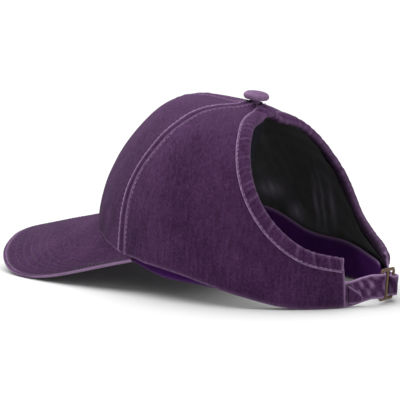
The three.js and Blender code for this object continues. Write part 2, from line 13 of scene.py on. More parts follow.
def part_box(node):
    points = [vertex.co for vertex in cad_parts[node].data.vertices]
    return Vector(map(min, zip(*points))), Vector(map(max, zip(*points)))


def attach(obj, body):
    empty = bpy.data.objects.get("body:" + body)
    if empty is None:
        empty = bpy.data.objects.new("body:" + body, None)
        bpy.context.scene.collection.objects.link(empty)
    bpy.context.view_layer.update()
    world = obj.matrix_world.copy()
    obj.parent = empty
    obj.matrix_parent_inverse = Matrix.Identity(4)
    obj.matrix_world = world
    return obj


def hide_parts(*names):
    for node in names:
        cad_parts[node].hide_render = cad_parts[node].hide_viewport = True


bl_info = {
    "name": "Washed ponytail cap",
    "version": (1, 0, 0),
    "blender": (4, 5, 0),
    "location": "3D View > Sidebar > Cap",
    "description": "Builds a washed cotton cap with a bound ponytail opening",
    "category": "Add Mesh",
}

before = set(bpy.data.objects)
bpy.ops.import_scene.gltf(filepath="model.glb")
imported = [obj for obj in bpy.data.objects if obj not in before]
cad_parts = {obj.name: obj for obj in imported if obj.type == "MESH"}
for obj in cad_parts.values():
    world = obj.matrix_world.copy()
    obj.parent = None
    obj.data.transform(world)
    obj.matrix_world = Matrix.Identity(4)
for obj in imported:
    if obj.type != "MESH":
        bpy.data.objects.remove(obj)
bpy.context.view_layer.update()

MM = 0.001
LAYER_GAP = 0.5 * MM
HALF_TURN = math.pi
QUARTER_TURN = math.pi / 2


def display_colour(red, green, blue):
    """A display colour of 0 to 255 as linear light, by the usual sRGB curve."""
    share = np.array([red, green, blue]) / 255
    linear = np.where(share <= 0.04045, share / 12.92, ((share + 0.055) / 1.055) ** 2.4)
    return tuple(float(part) for part in linear)


def length(name, description, millimetres):
    return bpy.props.FloatProperty(
        name=name, description=description, default=millimetres * MM, unit="LENGTH", precision=4)


def ratio(name, description, value):
    return bpy.props.FloatProperty(name=name, description=description, default=value)


def angle(name, description, degrees):
    return bpy.props.FloatProperty(
        name=name, description=description, default=math.radians(degrees), unit="ROTATION")


def colour(name, description, red, green, blue):
    return bpy.props.FloatVectorProperty(
        name=name, description=description, subtype="COLOR", min=0, max=1,
        default=display_colour(red, green, blue))


class CapSizes(bpy.types.PropertyGroup):
    """The sizes that the cap's surfaces follow."""

    head_width: length("Head width", "Across the crown's lower edge", 156.2)
    front_depth: length("Front depth", "From the widest line to the centre front", 101.7)
    rear_depth: length("Rear depth", "From the widest line to the centre back", 98.8)
    crown_height: length("Crown height", "From the table to the crown's apex", 114.9)
    apex_back: length("Apex back", "From the widest line to the apex", 7.5)
    forehead_hump: length("Forehead hump", "How far the front panels swell", 8.2)
    nape_dip: length("Nape dip", "How far the crown falls behind the button", 5.8)
    apex_rise: length("Apex rise", "Height of the knot of seams at the apex", 2.5)
    apex_rise_width: length("Apex rise width", "Reach of that knot", 9)
    cloth: length("Cloth", "Thickness of a panel", 1.2)
    rear_gap: length("Rear gap", "Between the crown's two rear ends", 50.5)
    rear_end_height: length("Rear end height", "Height of the left rear end", 28.9)
    right_end_drop: length("Right end drop", "How much lower the right rear end is", 2.7)
    binding_width: length("Binding width", "Width of each leaf of the binding", 9)
    binding_cloth: length("Binding cloth", "Thickness of the binding", 1)
    fold_room: length("Fold room", "Between the binding's fold and the panels", 2.1)
    binding_gap: length("Binding gap", "Between the binding's leaves and the panels", 1)
    peak_length: length("Peak length", "In front of the crown's centre front", 72.2)
    peak_corner: angle("Peak corner", "From the centre front to the peak's corner", 71.6)
    peak_thickness: length("Peak thickness", "Thickness of the peak", 3)
    peak_slope: ratio("Peak slope", "Fall for each metre forward", 0.24)
    peak_bend: length("Peak bend", "Radius of the peak's bend across", 97.8)
    peak_squareness: ratio("Peak squareness", "1 is a pointed peak and 0 a square one", 0.5)
    peak_shoulder: length("Peak shoulder", "How far the peak's sides swell", 6.3)
    peak_tuck: length("Peak tuck", "How far the peak reaches under the crown", 2.3)
    sweatband_height: length("Sweatband height", "Height of the sweatband above the edge", 20.5)
    sweatband_cloth: length("Sweatband cloth", "Thickness of the sweatband", 1.5)
    sweatband_hang: length("Sweatband hang", "How far it shows below the crown's sides", 6.5)
    lining_cloth: length("Lining cloth", "Thickness of the lining", 0.8)
    lining_tuck: length("Lining tuck", "Behind the sweatband's upper edge", 2)
    button_width: length("Button width", "Diameter of the covered button", 16)
    button_height: length("Button height", "Thickness of the covered button", 5)
    button_lean: angle("Button lean", "Lean of the button towards the back", 8)
    apex_hole: length("Apex hole", "Radius of the hole in the seams", 4)
    strap_height: length("Strap height", "Height of the strap", 17.3)
    strap_cloth: length("Strap cloth", "Thickness of the strap", 1.2)
    strap_root: length("Strap root", "Sewn length under a panel", 12)
    strap_bulge: length("Strap bulge", "How far the closure stands out", 6)
    strap_lean: ratio("Strap lean", "Outward lean of the closure for each metre of height", 0.18)
    strap_narrowing: length("Strap narrowing", "How much lower it is in the buckle", 1.6)
    strap_drop: length("Strap drop", "How much lower it is where it is sewn", 2.2)
    closure_skew: ratio("Closure skew", "Moves the closure's fullest place to the buckle", 1.7)
    buckle_across: length("Buckle across", "Along the strap", 16)
    buckle_bar: length("Buckle bar", "Width of the buckle's bars", 2)
    buckle_thickness: length("Buckle thickness", "Thickness of the buckle", 1.6)
    buckle_at: ratio("Buckle at", "Share of the rear gap from the middle to the right", 0.1)
    buckle_clearance: length("Buckle clearance", "Between the buckle and the strap", 0.35)
    buckle_stand: length("Buckle stand", "From the table to the buckle", 1.6)
    tab_length: length("Tab length", "Length of the tongue over the strap", 9.5)
    tab_height: length("Tab height", "Height of the tongue over the strap", 11)
    thread_pitch: length("Thread pitch", "From stitch to stitch", 3.1)
    thread_width: length("Thread width", "Width of a stitch", 0.5)


class CapColours(bpy.types.PropertyGroup):
    """The colours of the cap's cloth, lining and metal."""

    dyed: colour("Dyed cotton", "The cotton where the wash left it dark", 44, 20, 49)
    faded: colour("Faded cotton", "The cotton where the wash bleached it", 84, 52, 91)
    worn: colour("Worn cotton", "The cotton on rubbed edges and seams", 146, 118, 152)
    violet: colour("Violet twill", "The sweatband's unfaded twill", 74, 24, 98)
    lining: colour("Lining", "The thin dark lining", 17, 15, 19)
    tape: colour("Seam tape", "The tape over the seams inside", 38, 42, 52)
    brass: colour("Brass", "The buckle's aged brass", 120, 98, 78)
    table: colour("Table", "The pale table", 205, 205, 205)


class CapView(bpy.types.PropertyGroup):
    """Where the camera stands, as read from the photograph."""

    camera_turn: angle("Camera turn", "From the wearer's left towards the back", 35.21)
    camera_height: angle("Camera height", "Above the table's plane", 7.3)
    camera_roll: angle("Camera roll", "Clockwise turn of the picture", 1.02)
    camera_distance: length("Camera distance", "From the head ellipse's centre", 1142.8)
    target_height: length("Target height", "Height of the point that the camera is set by", 50)
    pixels_per_metre: ratio("Pixels per metre", "Scale of the picture at that point", 1590)


def sizes():
    return bpy.context.scene.cap_sizes


def colours():
    return bpy.context.scene.cap_colours


# Tables of the dome, in shares of the sizes and in degrees

FULLNESS = {
    "front": {"plan": 2.64, "rise": 2.52},
    "rear": {"plan": 1.67, "rise": 1.98},
}
EDGE_RISE = (
    {"left": 0.152, "right": 0.035},
    {"left": 0.073, "right": 0.012},
    {"left": 0.007, "right": 0.006},
    {"left": 0.0035, "right": 0.0035},
    {"left": 0, "right": 0},
)
FRONT_SEAM = (65.4, 61.5, 68.8, 74.6)
OPENING = (
    {"from_back": 36.7, "up": 17.8},
    {"from_back": 50.5, "up": 26.4},
    {"from_back": 58.2, "up": 39.5},
    {"from_back": 60, "up": 56.1},
    {"from_back": 55.7, "up": 69.9},
    {"from_back": 36.2, "up": 77.9},
    {"from_back": 0, "up": 79.6},
)
DENTS = (
    {"round": 132, "up": 51.6, "spread": 13, "tall": 29.8, "push": -0.033},
    {"round": -132, "up": 51.6, "spread": 13, "tall": 29.8, "push": -0.053},
    {"round": -142, "up": 21.8, "spread": 20, "tall": 12.6, "push": -0.05},
    {"round": 41, "up": 33, "spread": 32, "tall": 28, "push": -0.052},
    {"round": -41, "up": 33, "spread": 32, "tall": 28, "push": -0.052},
)


# Painted highlights (gleams) on the lining's right side, in millimetres back from the widest line and up

GLEAMS = (
    {"back": -26, "up": 53, "wide": 8, "tall": 5},
    {"back": -8, "up": 39, "wide": 4.5, "tall": 5},
    {"back": 9, "up": 47, "wide": 1.6, "tall": 14},
    {"back": 15, "up": 46, "wide": 1.2, "tall": 17},
    {"back": 23, "up": 47, "wide": 1.8, "tall": 13},
)


# Curves and lines

def blend(low, high, share):
    return low + (high - low) * share


def smooth(value, low, high):
    """0 below low, 1 above high, and 3t^2 - 2t^3 between them."""
    t = np.clip((value - low) / (high - low), 0, 1)
    return t * t * (3 - 2 * t)


def bump(value, middle, width):
    """A round hill of height 1: e to the minus square of the distance over the width."""
    return np.exp(-(((value - middle) / width) ** 2))


def unit(vectors):
    size = np.linalg.norm(vectors, axis=-1, keepdims=True)
    return vectors / np.maximum(size, 1e-12)


def curve_through(values, share):
    """A smooth curve through equally spaced values: on each stretch the cubic whose slope at
    either end is half the step between that end's neighbours."""
    points = np.asarray(values, float)
    last = len(points) - 1
    place = np.clip(share, 0, 1) * last
    start = np.minimum(np.floor(place).astype(int), last - 1)
    t = place - start
    before, low, high, after = (points[np.clip(start + step, 0, last)] for step in (-1, 0, 1, 2))
    rise, fall = (high - before) / 2, (after - low) / 2
    cubic = 2 * low - 2 * high + rise + fall
    square = -3 * low + 3 * high - 2 * rise - fall
    return ((cubic * t + square) * t + rise) * t + low


def route_through(points, share):
    """A smooth line through points: on each stretch the cubic whose end slopes weigh the steps
    on both sides by the square roots of their lengths."""
    points = np.asarray(points, float)
    ends = [2 * points[0] - points[1], *points, 2 * points[-1] - points[-2]]
    points = np.array(ends)
    steps = np.linalg.norm(np.diff(points, axis=0), axis=1) ** 0.5
    last = len(points) - 3
    place = np.clip(share, 0, 1) * last
    start = np.minimum(np.floor(place).astype(int), last - 1)
    t = (place - start)[:, None]
    p0, p1, p2, p3 = (points[start + step] for step in range(4))
    d0, d1, d2 = (steps[start + step][:, None] for step in range(3))
    rise = ((p1 - p0) / d0 - (p2 - p0) / (d0 + d1) + (p2 - p1) / d1) * d1
    fall = ((p2 - p1) / d1 - (p3 - p1) / (d1 + d2) + (p3 - p2) / d2) * d1
    cubic = 2 * p1 - 2 * p2 + rise + fall
    square = -3 * p1 + 3 * p2 - 2 * rise - fall
    return ((cubic * t + square) * t + rise) * t + p1


def ripple(u, v, across, upward, seed, waves=7):
    """Irregular ripples between about -1 and 1: a mean of cosines whose wavelengths lie within
    a third of those given, across and upward, with seeded directions and starts."""
    draw = np.random.default_rng(seed)
    total = 0
    for _ in range(waves):
        stretch = draw.uniform(0.7, 1.4, 2)
        lean = draw.uniform(-1, 1)
        start = draw.uniform(0, 2 * HALF_TURN)
        total = total + np.cos(
            2 * HALF_TURN * (u / (across * stretch[0]) + lean * v / (upward * stretch[1])) + start)
    return total / waves * 1.8


def travelled(points, axis):
    """Distance travelled along one axis of a grid of points, from its first row."""
    steps = np.linalg.norm(np.diff(points, axis=axis), axis=-1)
    first = np.zeros_like(np.take(steps, [0], axis=axis))
    return np.concatenate([first, np.cumsum(steps, axis=axis)], axis=axis)


# The dome

def wrap(turn):
    return turn - 2 * HALF_TURN * np.round(turn / (2 * HALF_TURN))


def head_point(turn):
    """The head ellipse: half the width times the sine, and minus the depth times the cosine."""
    s = sizes()
    depth = np.where(np.cos(turn) > 0, s.front_depth, s.rear_depth)
    return s.head_width / 2 * np.sin(turn), -depth * np.cos(turn)


def head_outward(turn):
    """The ellipse's own normal: its sine and cosine, each over its half axis."""
    s = sizes()
    depth = np.where(np.cos(turn) > 0, s.front_depth, s.rear_depth)
    x, y = np.sin(turn) / (s.head_width / 2), -np.cos(turn) / depth
    return unit(np.stack([x, y, np.zeros_like(x)], -1))


def peak_drop(x, y):
    """Height of the peak's upper face: its slope times the distance back, less a circle's fall."""
    s = sizes()
    fall = s.peak_bend - np.sqrt(np.maximum(s.peak_bend ** 2 - x * x, MM * MM))
    return s.peak_slope * (y + s.front_depth) - fall


def peak_normal(x):
    s = sizes()
    across = x / np.sqrt(np.maximum(s.peak_bend ** 2 - x * x, MM * MM))
    return unit(np.stack([across, np.full_like(across, -s.peak_slope), np.ones_like(across)], -1))


def peak_swing(share):
    s = sizes()
    reach = 1 - share * share
    return reach, np.sign(share) * np.arccos(reach ** (1 / s.peak_squareness))


def peak_rim(share):
    """The peak's rim from the right corner (-1) to the left (1): a rounded box whose sides swell
    by the sine of twice the swing."""
    s = sizes()
    corner_x, corner_y = head_point(s.peak_corner)
    reach, swing = peak_swing(share)
    x = corner_x * np.sin(swing) + s.peak_shoulder * np.sin(2 * swing)
    return x, blend(corner_y, -s.front_depth - s.peak_length, reach)


def peak_root(share):
    """The peak's inner edge: the head ellipse, moved in by the tuck."""
    s = sizes()
    reach, swing = peak_swing(share)
    turn = s.peak_corner * np.sin(swing)
    x, y = head_point(turn)
    inward = head_outward(turn)[..., :2] * (-s.peak_tuck * np.minimum(1, reach * 4))[..., None]
    return x + inward[..., 0], y + inward[..., 1]


def front_edge_height():
    """As high as lets the lowest point of the peak's underside stand on the table."""
    share = np.linspace(-1, 1, 33)
    x, y = peak_rim(share)
    return -float((peak_drop(x, y) - sizes().peak_thickness * peak_normal(x)[:, 2]).min())


def edge_height(turn):
    """Height of the crown's lower edge: on the peak in front, then down a smooth curve, which
    falls faster on the right."""
    s = sizes()
    turn = wrap(turn)
    away = np.abs(turn)
    front = front_edge_height()
    on_peak = front + peak_drop(*head_point(np.minimum(away, s.peak_corner)))
    corner = front + float(peak_drop(*head_point(s.peak_corner)))
    share = (away - s.peak_corner) / (HALF_TURN - s.peak_corner)
    left, right = (
        curve_through([corner, *(row[side] * s.crown_height for row in EDGE_RISE)], share)
        for side in ("left", "right"))
    return np.where(away < s.peak_corner, on_peak, np.where(turn > 0, left, right))


def fullness(turn):
    front = 0.5 + 0.5 * np.cos(turn)
    plan = blend(FULLNESS["rear"]["plan"], FULLNESS["front"]["plan"], front)
    rise = blend(FULLNESS["rear"]["rise"], FULLNESS["front"]["rise"], front)
    return front, plan, rise


def crown_point(turn, lift):
    """The crown's outer face over a turn round the head and a lift up the dome: the ellipse
    shrinks by cos^(2/plan) and rises by sin^(2/rise), with the forehead's hump, the nape's dip,
    the knot at the apex and the dents."""
    s = sizes()
    turn = wrap(turn)
    lift = np.clip(lift, 0, QUARTER_TURN)
    front, plan, rise = fullness(turn)
    spread = np.cos(lift) ** (2 / plan)
    climb = np.sin(lift) ** (2 / rise)
    edge_x, edge_y = head_point(turn)
    x = edge_x * spread
    y = s.apex_back + (edge_y - s.apex_back) * spread
    low = edge_height(turn)
    hump = s.forehead_hump * front ** 2 * np.sin(HALF_TURN * spread) ** 2
    dip = s.nape_dip * (1 - front) ** 2 * np.sin(HALF_TURN * np.sqrt(spread)) ** 2
    knot = s.apex_rise * np.exp(-(x * x + (y - s.apex_back) ** 2) / s.apex_rise_width ** 2)
    z = low + (s.crown_height - low) * climb + hump - dip + knot
    point = np.stack([x, y, z], -1)
    outward = unit(point - np.array([0, s.apex_back, s.rear_end_height]))
    push = 0
    for dent in DENTS:
        aside = (np.degrees(turn) - dent["round"]) / dent["spread"]
        above = (np.degrees(lift) - dent["up"]) / dent["tall"]
        push = push + dent["push"] * s.crown_height * np.exp(-aside ** 2 - above ** 2)
    return point + outward * push[..., None]


def to_chart(turn, lift):
    """Places on the dome as a flat chart about the apex, which has no pole there."""
    far = QUARTER_TURN - lift
    return np.stack([far * np.sin(turn), -far * np.cos(turn)], -1)


def from_chart(chart):
    return np.arctan2(chart[..., 0], -chart[..., 1]), QUARTER_TURN - np.hypot(chart[..., 0], chart[..., 1])


def slopes(chart):
    """The dome's two directions at places of the chart, by central differences."""
    step = 1e-3

    def difference(move):
        ahead_turn, ahead_lift = from_chart(chart + move)
        behind_turn, behind_lift = from_chart(chart - move)
        low = np.maximum(0, -np.minimum(ahead_lift, behind_lift))
        ahead = crown_point(ahead_turn, ahead_lift + low)
        return (ahead - crown_point(behind_turn, behind_lift + low)) / (2 * step)

    return difference(np.array([step, 0])), difference(np.array([0, step]))


def crown_normal(turn, lift):
    across, along = slopes(to_chart(turn, np.maximum(lift, 0.01)))
    return unit(np.cross(across, along))


def layer_point(turn, lift, depth):
    """A point of the crown's cloth, so far inside its outer face."""
    depth = np.asarray(depth)[..., None]
    return crown_point(turn, lift) - crown_normal(turn, lift) * depth


def walk(turn, lift, direction, distance):
    """Walks over the dome by a distance, in six steps that hold a direction in space."""
    chart = to_chart(turn, lift)
    for _ in range(6):
        across, along = slopes(chart)
        a = (across * across).sum(-1)
        b = (across * along).sum(-1)
        c = (along * along).sum(-1)
        u = (across * direction).sum(-1) * distance / 6
        v = (along * direction).sum(-1) * distance / 6
        scale = a * c - b * b
        chart = chart + np.stack([(c * u - b * v) / scale, (a * v - b * u) / scale], -1)
    return from_chart(chart)


def lift_at_height(turn, height):
    room = sizes().crown_height - edge_height(turn)
    rise = fullness(wrap(turn))[2]
    return np.arcsin(np.clip(height / room, 0, 1) ** (rise / 2))


def lift_at_radius(turn, radius):
    x, y = head_point(wrap(turn))
    reach = np.hypot(x, y - sizes().apex_back)
    return np.arccos((radius / reach) ** (fullness(wrap(turn))[1] / 2))


# The ponytail opening

def rear_end_turn():
    s = sizes()
    return HALF_TURN - math.asin(s.rear_gap / s.head_width)


def opening_place(way):
    """The opening's edge, from the left rear end (0) over the top (1) to the right (2)."""
    s = sizes()
    share = 1 - np.abs(1 - way)
    places = []
    for height in (s.rear_end_height, s.rear_end_height - s.right_end_drop):
        from_back = [math.degrees(HALF_TURN - rear_end_turn()), *(row["from_back"] for row in OPENING)]
        first_lift = math.degrees(float(lift_at_height(rear_end_turn(), height)))
        lift = [first_lift, *(row["up"] for row in OPENING)]
        places.append((curve_through(from_back, share), curve_through(lift, share)))
    left = way <= 1
    from_back = np.radians(np.where(left, places[0][0], places[1][0]))
    lift = np.radians(np.where(left, places[0][1], places[1][1]))
    return HALF_TURN - np.where(left, 1, -1) * from_back, lift


def away_from_opening(way):
    """The direction on the dome that leads away from the opening, square to its edge."""
    step = 0.01
    ahead = crown_point(*opening_place(np.minimum(way + step, 2)))
    behind = crown_point(*opening_place(np.maximum(way - step, 0)))
    along = ahead - behind
    return -unit(np.cross(along, crown_normal(*opening_place(way))))


# Meshes

def head_middle():
    """Where the head ellipse's middle lies along y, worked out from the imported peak's front."""
    s = sizes()
    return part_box("peak")[0].y + s.front_depth + s.peak_length

class Cloth:
    """A piece's mesh as it is gathered: points, quads, cloth coordinates and wear."""

    def __init__(self):
        self.points = []
        self.quads = []
        self.across = []
        self.wear = []
        self.fade_and_painted_light = []
        self.count = 0

    def grid(self, points, across, wear=0.0, fade_and_painted_light=0.0, flip=False, closed=False):
        """Adds a grid of points, [column][row], with its cloth coordinates in metres. A closed
        grid's last column joins its first."""
        columns, rows = points.shape[:2]
        index = self.count + np.arange(columns * rows).reshape(columns, rows)
        if closed:
            index = np.concatenate([index, index[:1]])
        quads = np.stack([index[:-1, :-1], index[1:, :-1], index[1:, 1:], index[:-1, 1:]], -1)
        quads = quads.reshape(-1, 4)
        self.quads.append(quads[:, ::-1] if flip else quads)
        self.points.append(points.reshape(-1, 3))
        self.across.append(np.broadcast_to(across, points.shape[:2] + (2,)).reshape(-1, 2))
        self.wear.append(np.broadcast_to(wear, points.shape[:2]).reshape(-1))
        self.fade_and_painted_light.append(np.broadcast_to(fade_and_painted_light, points.shape[:2]).reshape(-1))
        self.count += columns * rows
        return index

    def cap(self, border):
        """Closes a round border with quads about its first point."""
        steps = np.arange(1, len(border) - 2, 2)
        first = np.full_like(steps, border[0])
        fan = np.stack([first, border[steps], border[steps + 1], border[steps + 2]], -1)
        self.quads.append(fan[:, ::-1])

    def copies(self, points, quads):
        """Adds many small shapes, [shape][point], which share one pattern of quads."""
        count, each = points.shape[:2]
        first = self.count + each * np.arange(count)
        self.quads.append((first[:, None, None] + quads).reshape(-1, 4))
        self.points.append(points.reshape(-1, 3))
        self.across.append(np.zeros((count * each, 2)))
        self.wear.append(np.zeros(count * each))
        self.fade_and_painted_light.append(np.zeros(count * each))
        self.count += count * each

    def wall(self, outer, inner, across, wear=0.0, fade_and_painted_light=0.0):
        """Adds a wall between two grids, closed round its border."""
        out = self.grid(outer, across, wear, fade_and_painted_light)
        within = self.grid(inner, across, wear, fade_and_painted_light, flip=True)
        for a, b in ((out[:, 0], within[:, 0]), (within[:, -1], out[:, -1]),
                     (within[0], out[0]), (out[-1], within[-1])):
            self.quads.append(np.stack([a[:-1], b[:-1], b[1:], a[1:]], -1))

    def piece(self, name, replaced, slot, material):
        """Makes the object, smooth and facing out, and hands it to the frame."""
        points = np.concatenate(self.points) + np.array([0, head_middle(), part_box("back_strap")[0].z])
        quads = np.concatenate(self.quads)
        a, b, c, d = (points[quads[:, corner]] for corner in range(4))
        volume = (a * np.cross(b, c)).sum() + (a * np.cross(c, d)).sum()
        if volume < 0:
            quads = quads[:, ::-1]
        mesh = bpy.data.meshes.new(name)
        mesh.from_pydata(points, [], quads.tolist())
        layer = mesh.uv_layers.new(name="cloth")
        corners = np.empty(len(mesh.loops), np.int32)
        mesh.loops.foreach_get("vertex_index", corners)
        layer.data.foreach_set("uv", np.concatenate(self.across)[corners].astype(np.float32).ravel())
        for label, values in (("wear", self.wear), ("fade_and_painted_light", self.fade_and_painted_light)):
            attribute = mesh.attributes.new(label, "FLOAT", "POINT")
            attribute.data.foreach_set("value", np.concatenate(values).astype(np.float32))
        mesh.polygons.foreach_set("use_smooth", np.ones(len(mesh.polygons), bool))
        mesh.validate()
        mesh.update()
        mesh.materials.append(material)
        thing = bpy.data.objects.new(name, mesh)
        bpy.context.scene.collection.objects.link(thing)
        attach(thing, "root")
        if replaced:
            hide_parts(*replaced)


def rolled(distance, cloth):
    """How far both faces of a cloth turn in towards its middle beside an edge: half its
    thickness less a circle's height, over half its thickness."""
    near = np.clip(1 - distance / (cloth / 2), 0, 1)
    return cloth / 2 * (1 - np.sqrt(1 - near * near))


def tape_wall(cloth, centre, normal, thickness, edge, across, wear=0.0, fade_and_painted_light=0.0):
    """Adds a tape of that thickness about a grid of centre points, rolled at its edges."""
    half = (thickness / 2 - rolled(edge, thickness))[..., None] * normal
    cloth.wall(centre + half, centre - half, across, wear, fade_and_painted_light)


def stitches(cloth, points, normals, sunk=0.12 * MM):
    """Adds a row of stitches along a line: each a spindle of six sides, whose width follows the
    square root of 1 - t^2, arched over the cloth and spaced by the thread's pitch."""
    s = sizes()
    run = travelled(points, 0)
    count = max(2, int(run[-1] / s.thread_pitch))
    at = (np.arange(count) + 0.5) * run[-1] / count

    def read(values, place):
        return np.stack([np.interp(place, run, values[:, axis]) for axis in range(3)], -1)

    centre, normal = read(points, at), unit(read(normals, at))
    along = unit(read(points, at + 0.3 * MM) - read(points, at - 0.3 * MM))
    side = np.cross(normal, along)
    t = np.array([-1, -0.75, -0.25, 0.25, 0.75, 1])[:, None, None]
    swing = np.linspace(0, 2 * HALF_TURN, 7)[:-1, None]
    width = s.thread_width / 2 * np.sqrt(1 - np.minimum(t * t, 0.96))
    lift = width * np.sin(swing) + sunk * (1 - 2 * t * t)
    frame_of = (vectors[:, None, None] for vectors in (centre, along, side, normal))
    middle, forward, aside, upward = frame_of
    ring = (middle + t * s.thread_pitch * 0.42 * forward + width * np.cos(swing) * aside
            + lift * upward)
    sides = np.arange(6)
    band = np.stack([sides, (sides + 1) % 6, (sides + 1) % 6 + 6, sides + 6], -1)
    bands = (band + 6 * np.arange(5)[:, None, None]).reshape(-1, 4)
    ends = np.array([[3, 2, 1, 0], [5, 4, 3, 0], [30, 31, 32, 33], [30, 33, 34, 35]])
    cloth.copies(ring.reshape(count, -1, 3), np.concatenate([bands, ends]))


# Materials

class Number:
    """A number that varies over a surface: a shader socket on which sums add Math nodes."""

    def __init__(self, finish, socket):
        self.finish = finish
        self.socket = socket

    def math(self, operation, *others, clamp=False):
        settings = {"operation": operation, "use_clamp": clamp}
        inputs = dict(enumerate([self, *others]))
        return Number(self.finish, self.finish.node("ShaderNodeMath", settings, inputs).outputs[0])

    def __add__(self, other):
        return self.math("ADD", other)

    def __sub__(self, other):
        return self.math("SUBTRACT", other)

    def __rsub__(self, other):
        return self.finish.number(other).math("SUBTRACT", self)

    def __mul__(self, other):
        return self.math("MULTIPLY", other)

    def clamped(self):
        return self.math("ADD", 0.0, clamp=True)


class Finish:
    """A material and the one way in which its nodes are made."""

    def __init__(self, name, **constants):
        self.material = bpy.data.materials.new(name)
        self.material.use_nodes = True
        self.tree = self.material.node_tree
        self.shader = self.tree.nodes["Principled BSDF"]
        for socket, value in constants.items():
            self.shader.inputs[socket.replace("_", " ")].default_value = value

    def node(self, kind, settings=None, inputs=None):
        """A node of that type, with its settings first and then values or links by socket."""
        made = self.tree.nodes.new(kind)
        for key, value in (settings or {}).items():
            setattr(made, key, value)
        for key, value in (inputs or {}).items():
            socket = made.inputs[key]
            source = value.socket if isinstance(value, Number) else value
            if isinstance(source, bpy.types.NodeSocket):
                self.tree.links.new(source, socket)
            else:
                socket.default_value = source
        return made

    def number(self, value):
        node = self.node("ShaderNodeValue")
        node.outputs[0].default_value = value
        return Number(self, node.outputs[0])

    def attribute(self, name):
        node = self.node("ShaderNodeAttribute", {"attribute_name": name})
        return Number(self, node.outputs["Fac"])

    def cloth(self, across=1.0, upward=1.0, turned=0.0):
        """The cloth's own coordinates in metres, stretched and turned."""
        place = self.node("ShaderNodeUVMap", {"uv_map": "cloth"}).outputs[0]
        mapping = self.node("ShaderNodeMapping", None, {
            "Vector": place, "Scale": (across, upward, 1.0), "Rotation": (0.0, 0.0, turned)})
        return mapping.outputs[0]

    def upright(self, across, upward):
        """The object's own coordinates in metres, with a scale across and one upward."""
        place = self.node("ShaderNodeTexCoord").outputs["Object"]
        mapping = self.node("ShaderNodeMapping", None, {
            "Vector": place, "Scale": (across, across, upward)})
        return mapping.outputs[0]

    def noise(self, place, scale, detail=2.0, roughness=0.5):
        node = self.node("ShaderNodeTexNoise", None, {
            "Vector": place, "Scale": scale, "Detail": detail, "Roughness": roughness})
        return Number(self, node.outputs[0])

    def waves(self, place, scale):
        settings = {"wave_type": "BANDS", "bands_direction": "X"}
        node = self.node("ShaderNodeTexWave", settings, {
            "Vector": place, "Scale": scale, "Detail": 1.0})
        return Number(self, node.outputs[1])

    def mixed(self, low, high, share):
        """A colour between two, by a varying share."""
        node = self.node("ShaderNodeMix", {"data_type": "RGBA"}, {"Factor": share})
        for socket, value in ((node.inputs[6], low), (node.inputs[7], high)):
            if isinstance(value, bpy.types.NodeSocket):
                self.tree.links.new(value, socket)
            else:
                socket.default_value = (*value, 1.0)
        return node.outputs[2]

    def paint(self, base=None, roughness=None, height=None, depth=0.2 * MM):
        """Links what varies over the surface: its colour, roughness and small relief."""
        if base is not None:
            self.tree.links.new(base, self.shader.inputs["Base Color"])
        if roughness is not None:
            self.tree.links.new(roughness.socket, self.shader.inputs["Roughness"])
        if height is not None:
            bump_node = self.node("ShaderNodeBump", None, {
                "Height": height, "Distance": depth, "Strength": 1.0})
            self.tree.links.new(bump_node.outputs[0], self.shader.inputs["Normal"])
        return self.material


def washed_cotton(name, bleach=0.0):
    """Cotton twill after a garment wash: dark dye with bleached blotches, streaks along the
    warp, rubbed edges, and a fine diagonal weave."""
    c = colours()
    finish = Finish(name, Roughness=0.95, Sheen_Weight=0.02, Sheen_Roughness=0.5)
    finish.shader.inputs["Specular IOR Level"].default_value = 0.1
    cloth = finish.cloth()
    blotch = finish.noise(cloth, 45.0, 3.0, 0.6)
    streaks = finish.noise(finish.upright(430.0, 60.0), 1.0, 3.0, 0.7)
    fleck = finish.noise(cloth, 560.0, 3.0, 0.7)
    # The attribute brings fading, and on the binding also painted light and painted shade.
    share = (finish.attribute("fade_and_painted_light") + bleach + (blotch - 0.5) * 0.7
             + (streaks - 0.5) * 1.2 + (fleck - 0.5) * 1.6)
    base = finish.mixed(tuple(c.dyed), tuple(c.faded), (share * 0.8 + 0.3).clamped())
    rub = finish.attribute("wear") * (finish.noise(cloth, 300.0, 2.0) * 1.5 + 0.25)
    base = finish.mixed(base, tuple(c.worn), rub.clamped())
    weave = finish.waves(finish.cloth(1.0, 1.0, math.radians(58)), 450.0)
    yarn = finish.waves(finish.cloth(1.0, 1.0, math.radians(-12)), 380.0)
    height = weave * 0.2 + yarn * 0.1 + fleck * 1.2 + streaks * 0.3
    return finish.paint(base, None, height, 0.22 * MM)


def thread_finish(name, dark, bleach):
    """Sewing thread that varies from a dark colour to the worn cotton's."""
    finish = Finish(name, Roughness=0.8, Sheen_Weight=0.05)
    place = finish.node("ShaderNodeTexCoord").outputs["Object"]
    shade = finish.noise(place, 90.0, 3.0)
    base = finish.mixed(tuple(dark), tuple(colours().worn), (shade * 2.0 + bleach).clamped())
    twist = finish.noise(place, 2500.0, 1.0)
    return finish.paint(base, None, twist, 0.08 * MM)


def violet_twill():
    """The sweatband's cotton, which the wash hardly reached."""
    c = colours()
    finish = Finish("violet_twill", Roughness=0.9)
    finish.shader.inputs["Specular IOR Level"].default_value = 0.1
    cloth = finish.cloth()
    blotch = finish.noise(cloth, 60.0, 3.0)
    fleck = finish.noise(cloth, 700.0, 2.0)
    dark = tuple(part * 0.3 for part in c.violet)
    # The attribute brings painted light: the band brightens towards its right rear end.
    share = finish.attribute("fade_and_painted_light") + blotch * 1.2 - 0.15 + (fleck - 0.5) * 0.5
    base = finish.mixed(dark, tuple(c.violet), share.clamped())
    base = finish.mixed(base, tuple(c.worn), (finish.attribute("wear") * 0.7).clamped())
    weave = finish.waves(finish.cloth(1.0, 1.0, math.radians(58)), 420.0)
    return finish.paint(base, None, weave * 0.6 + fleck, 0.2 * MM)


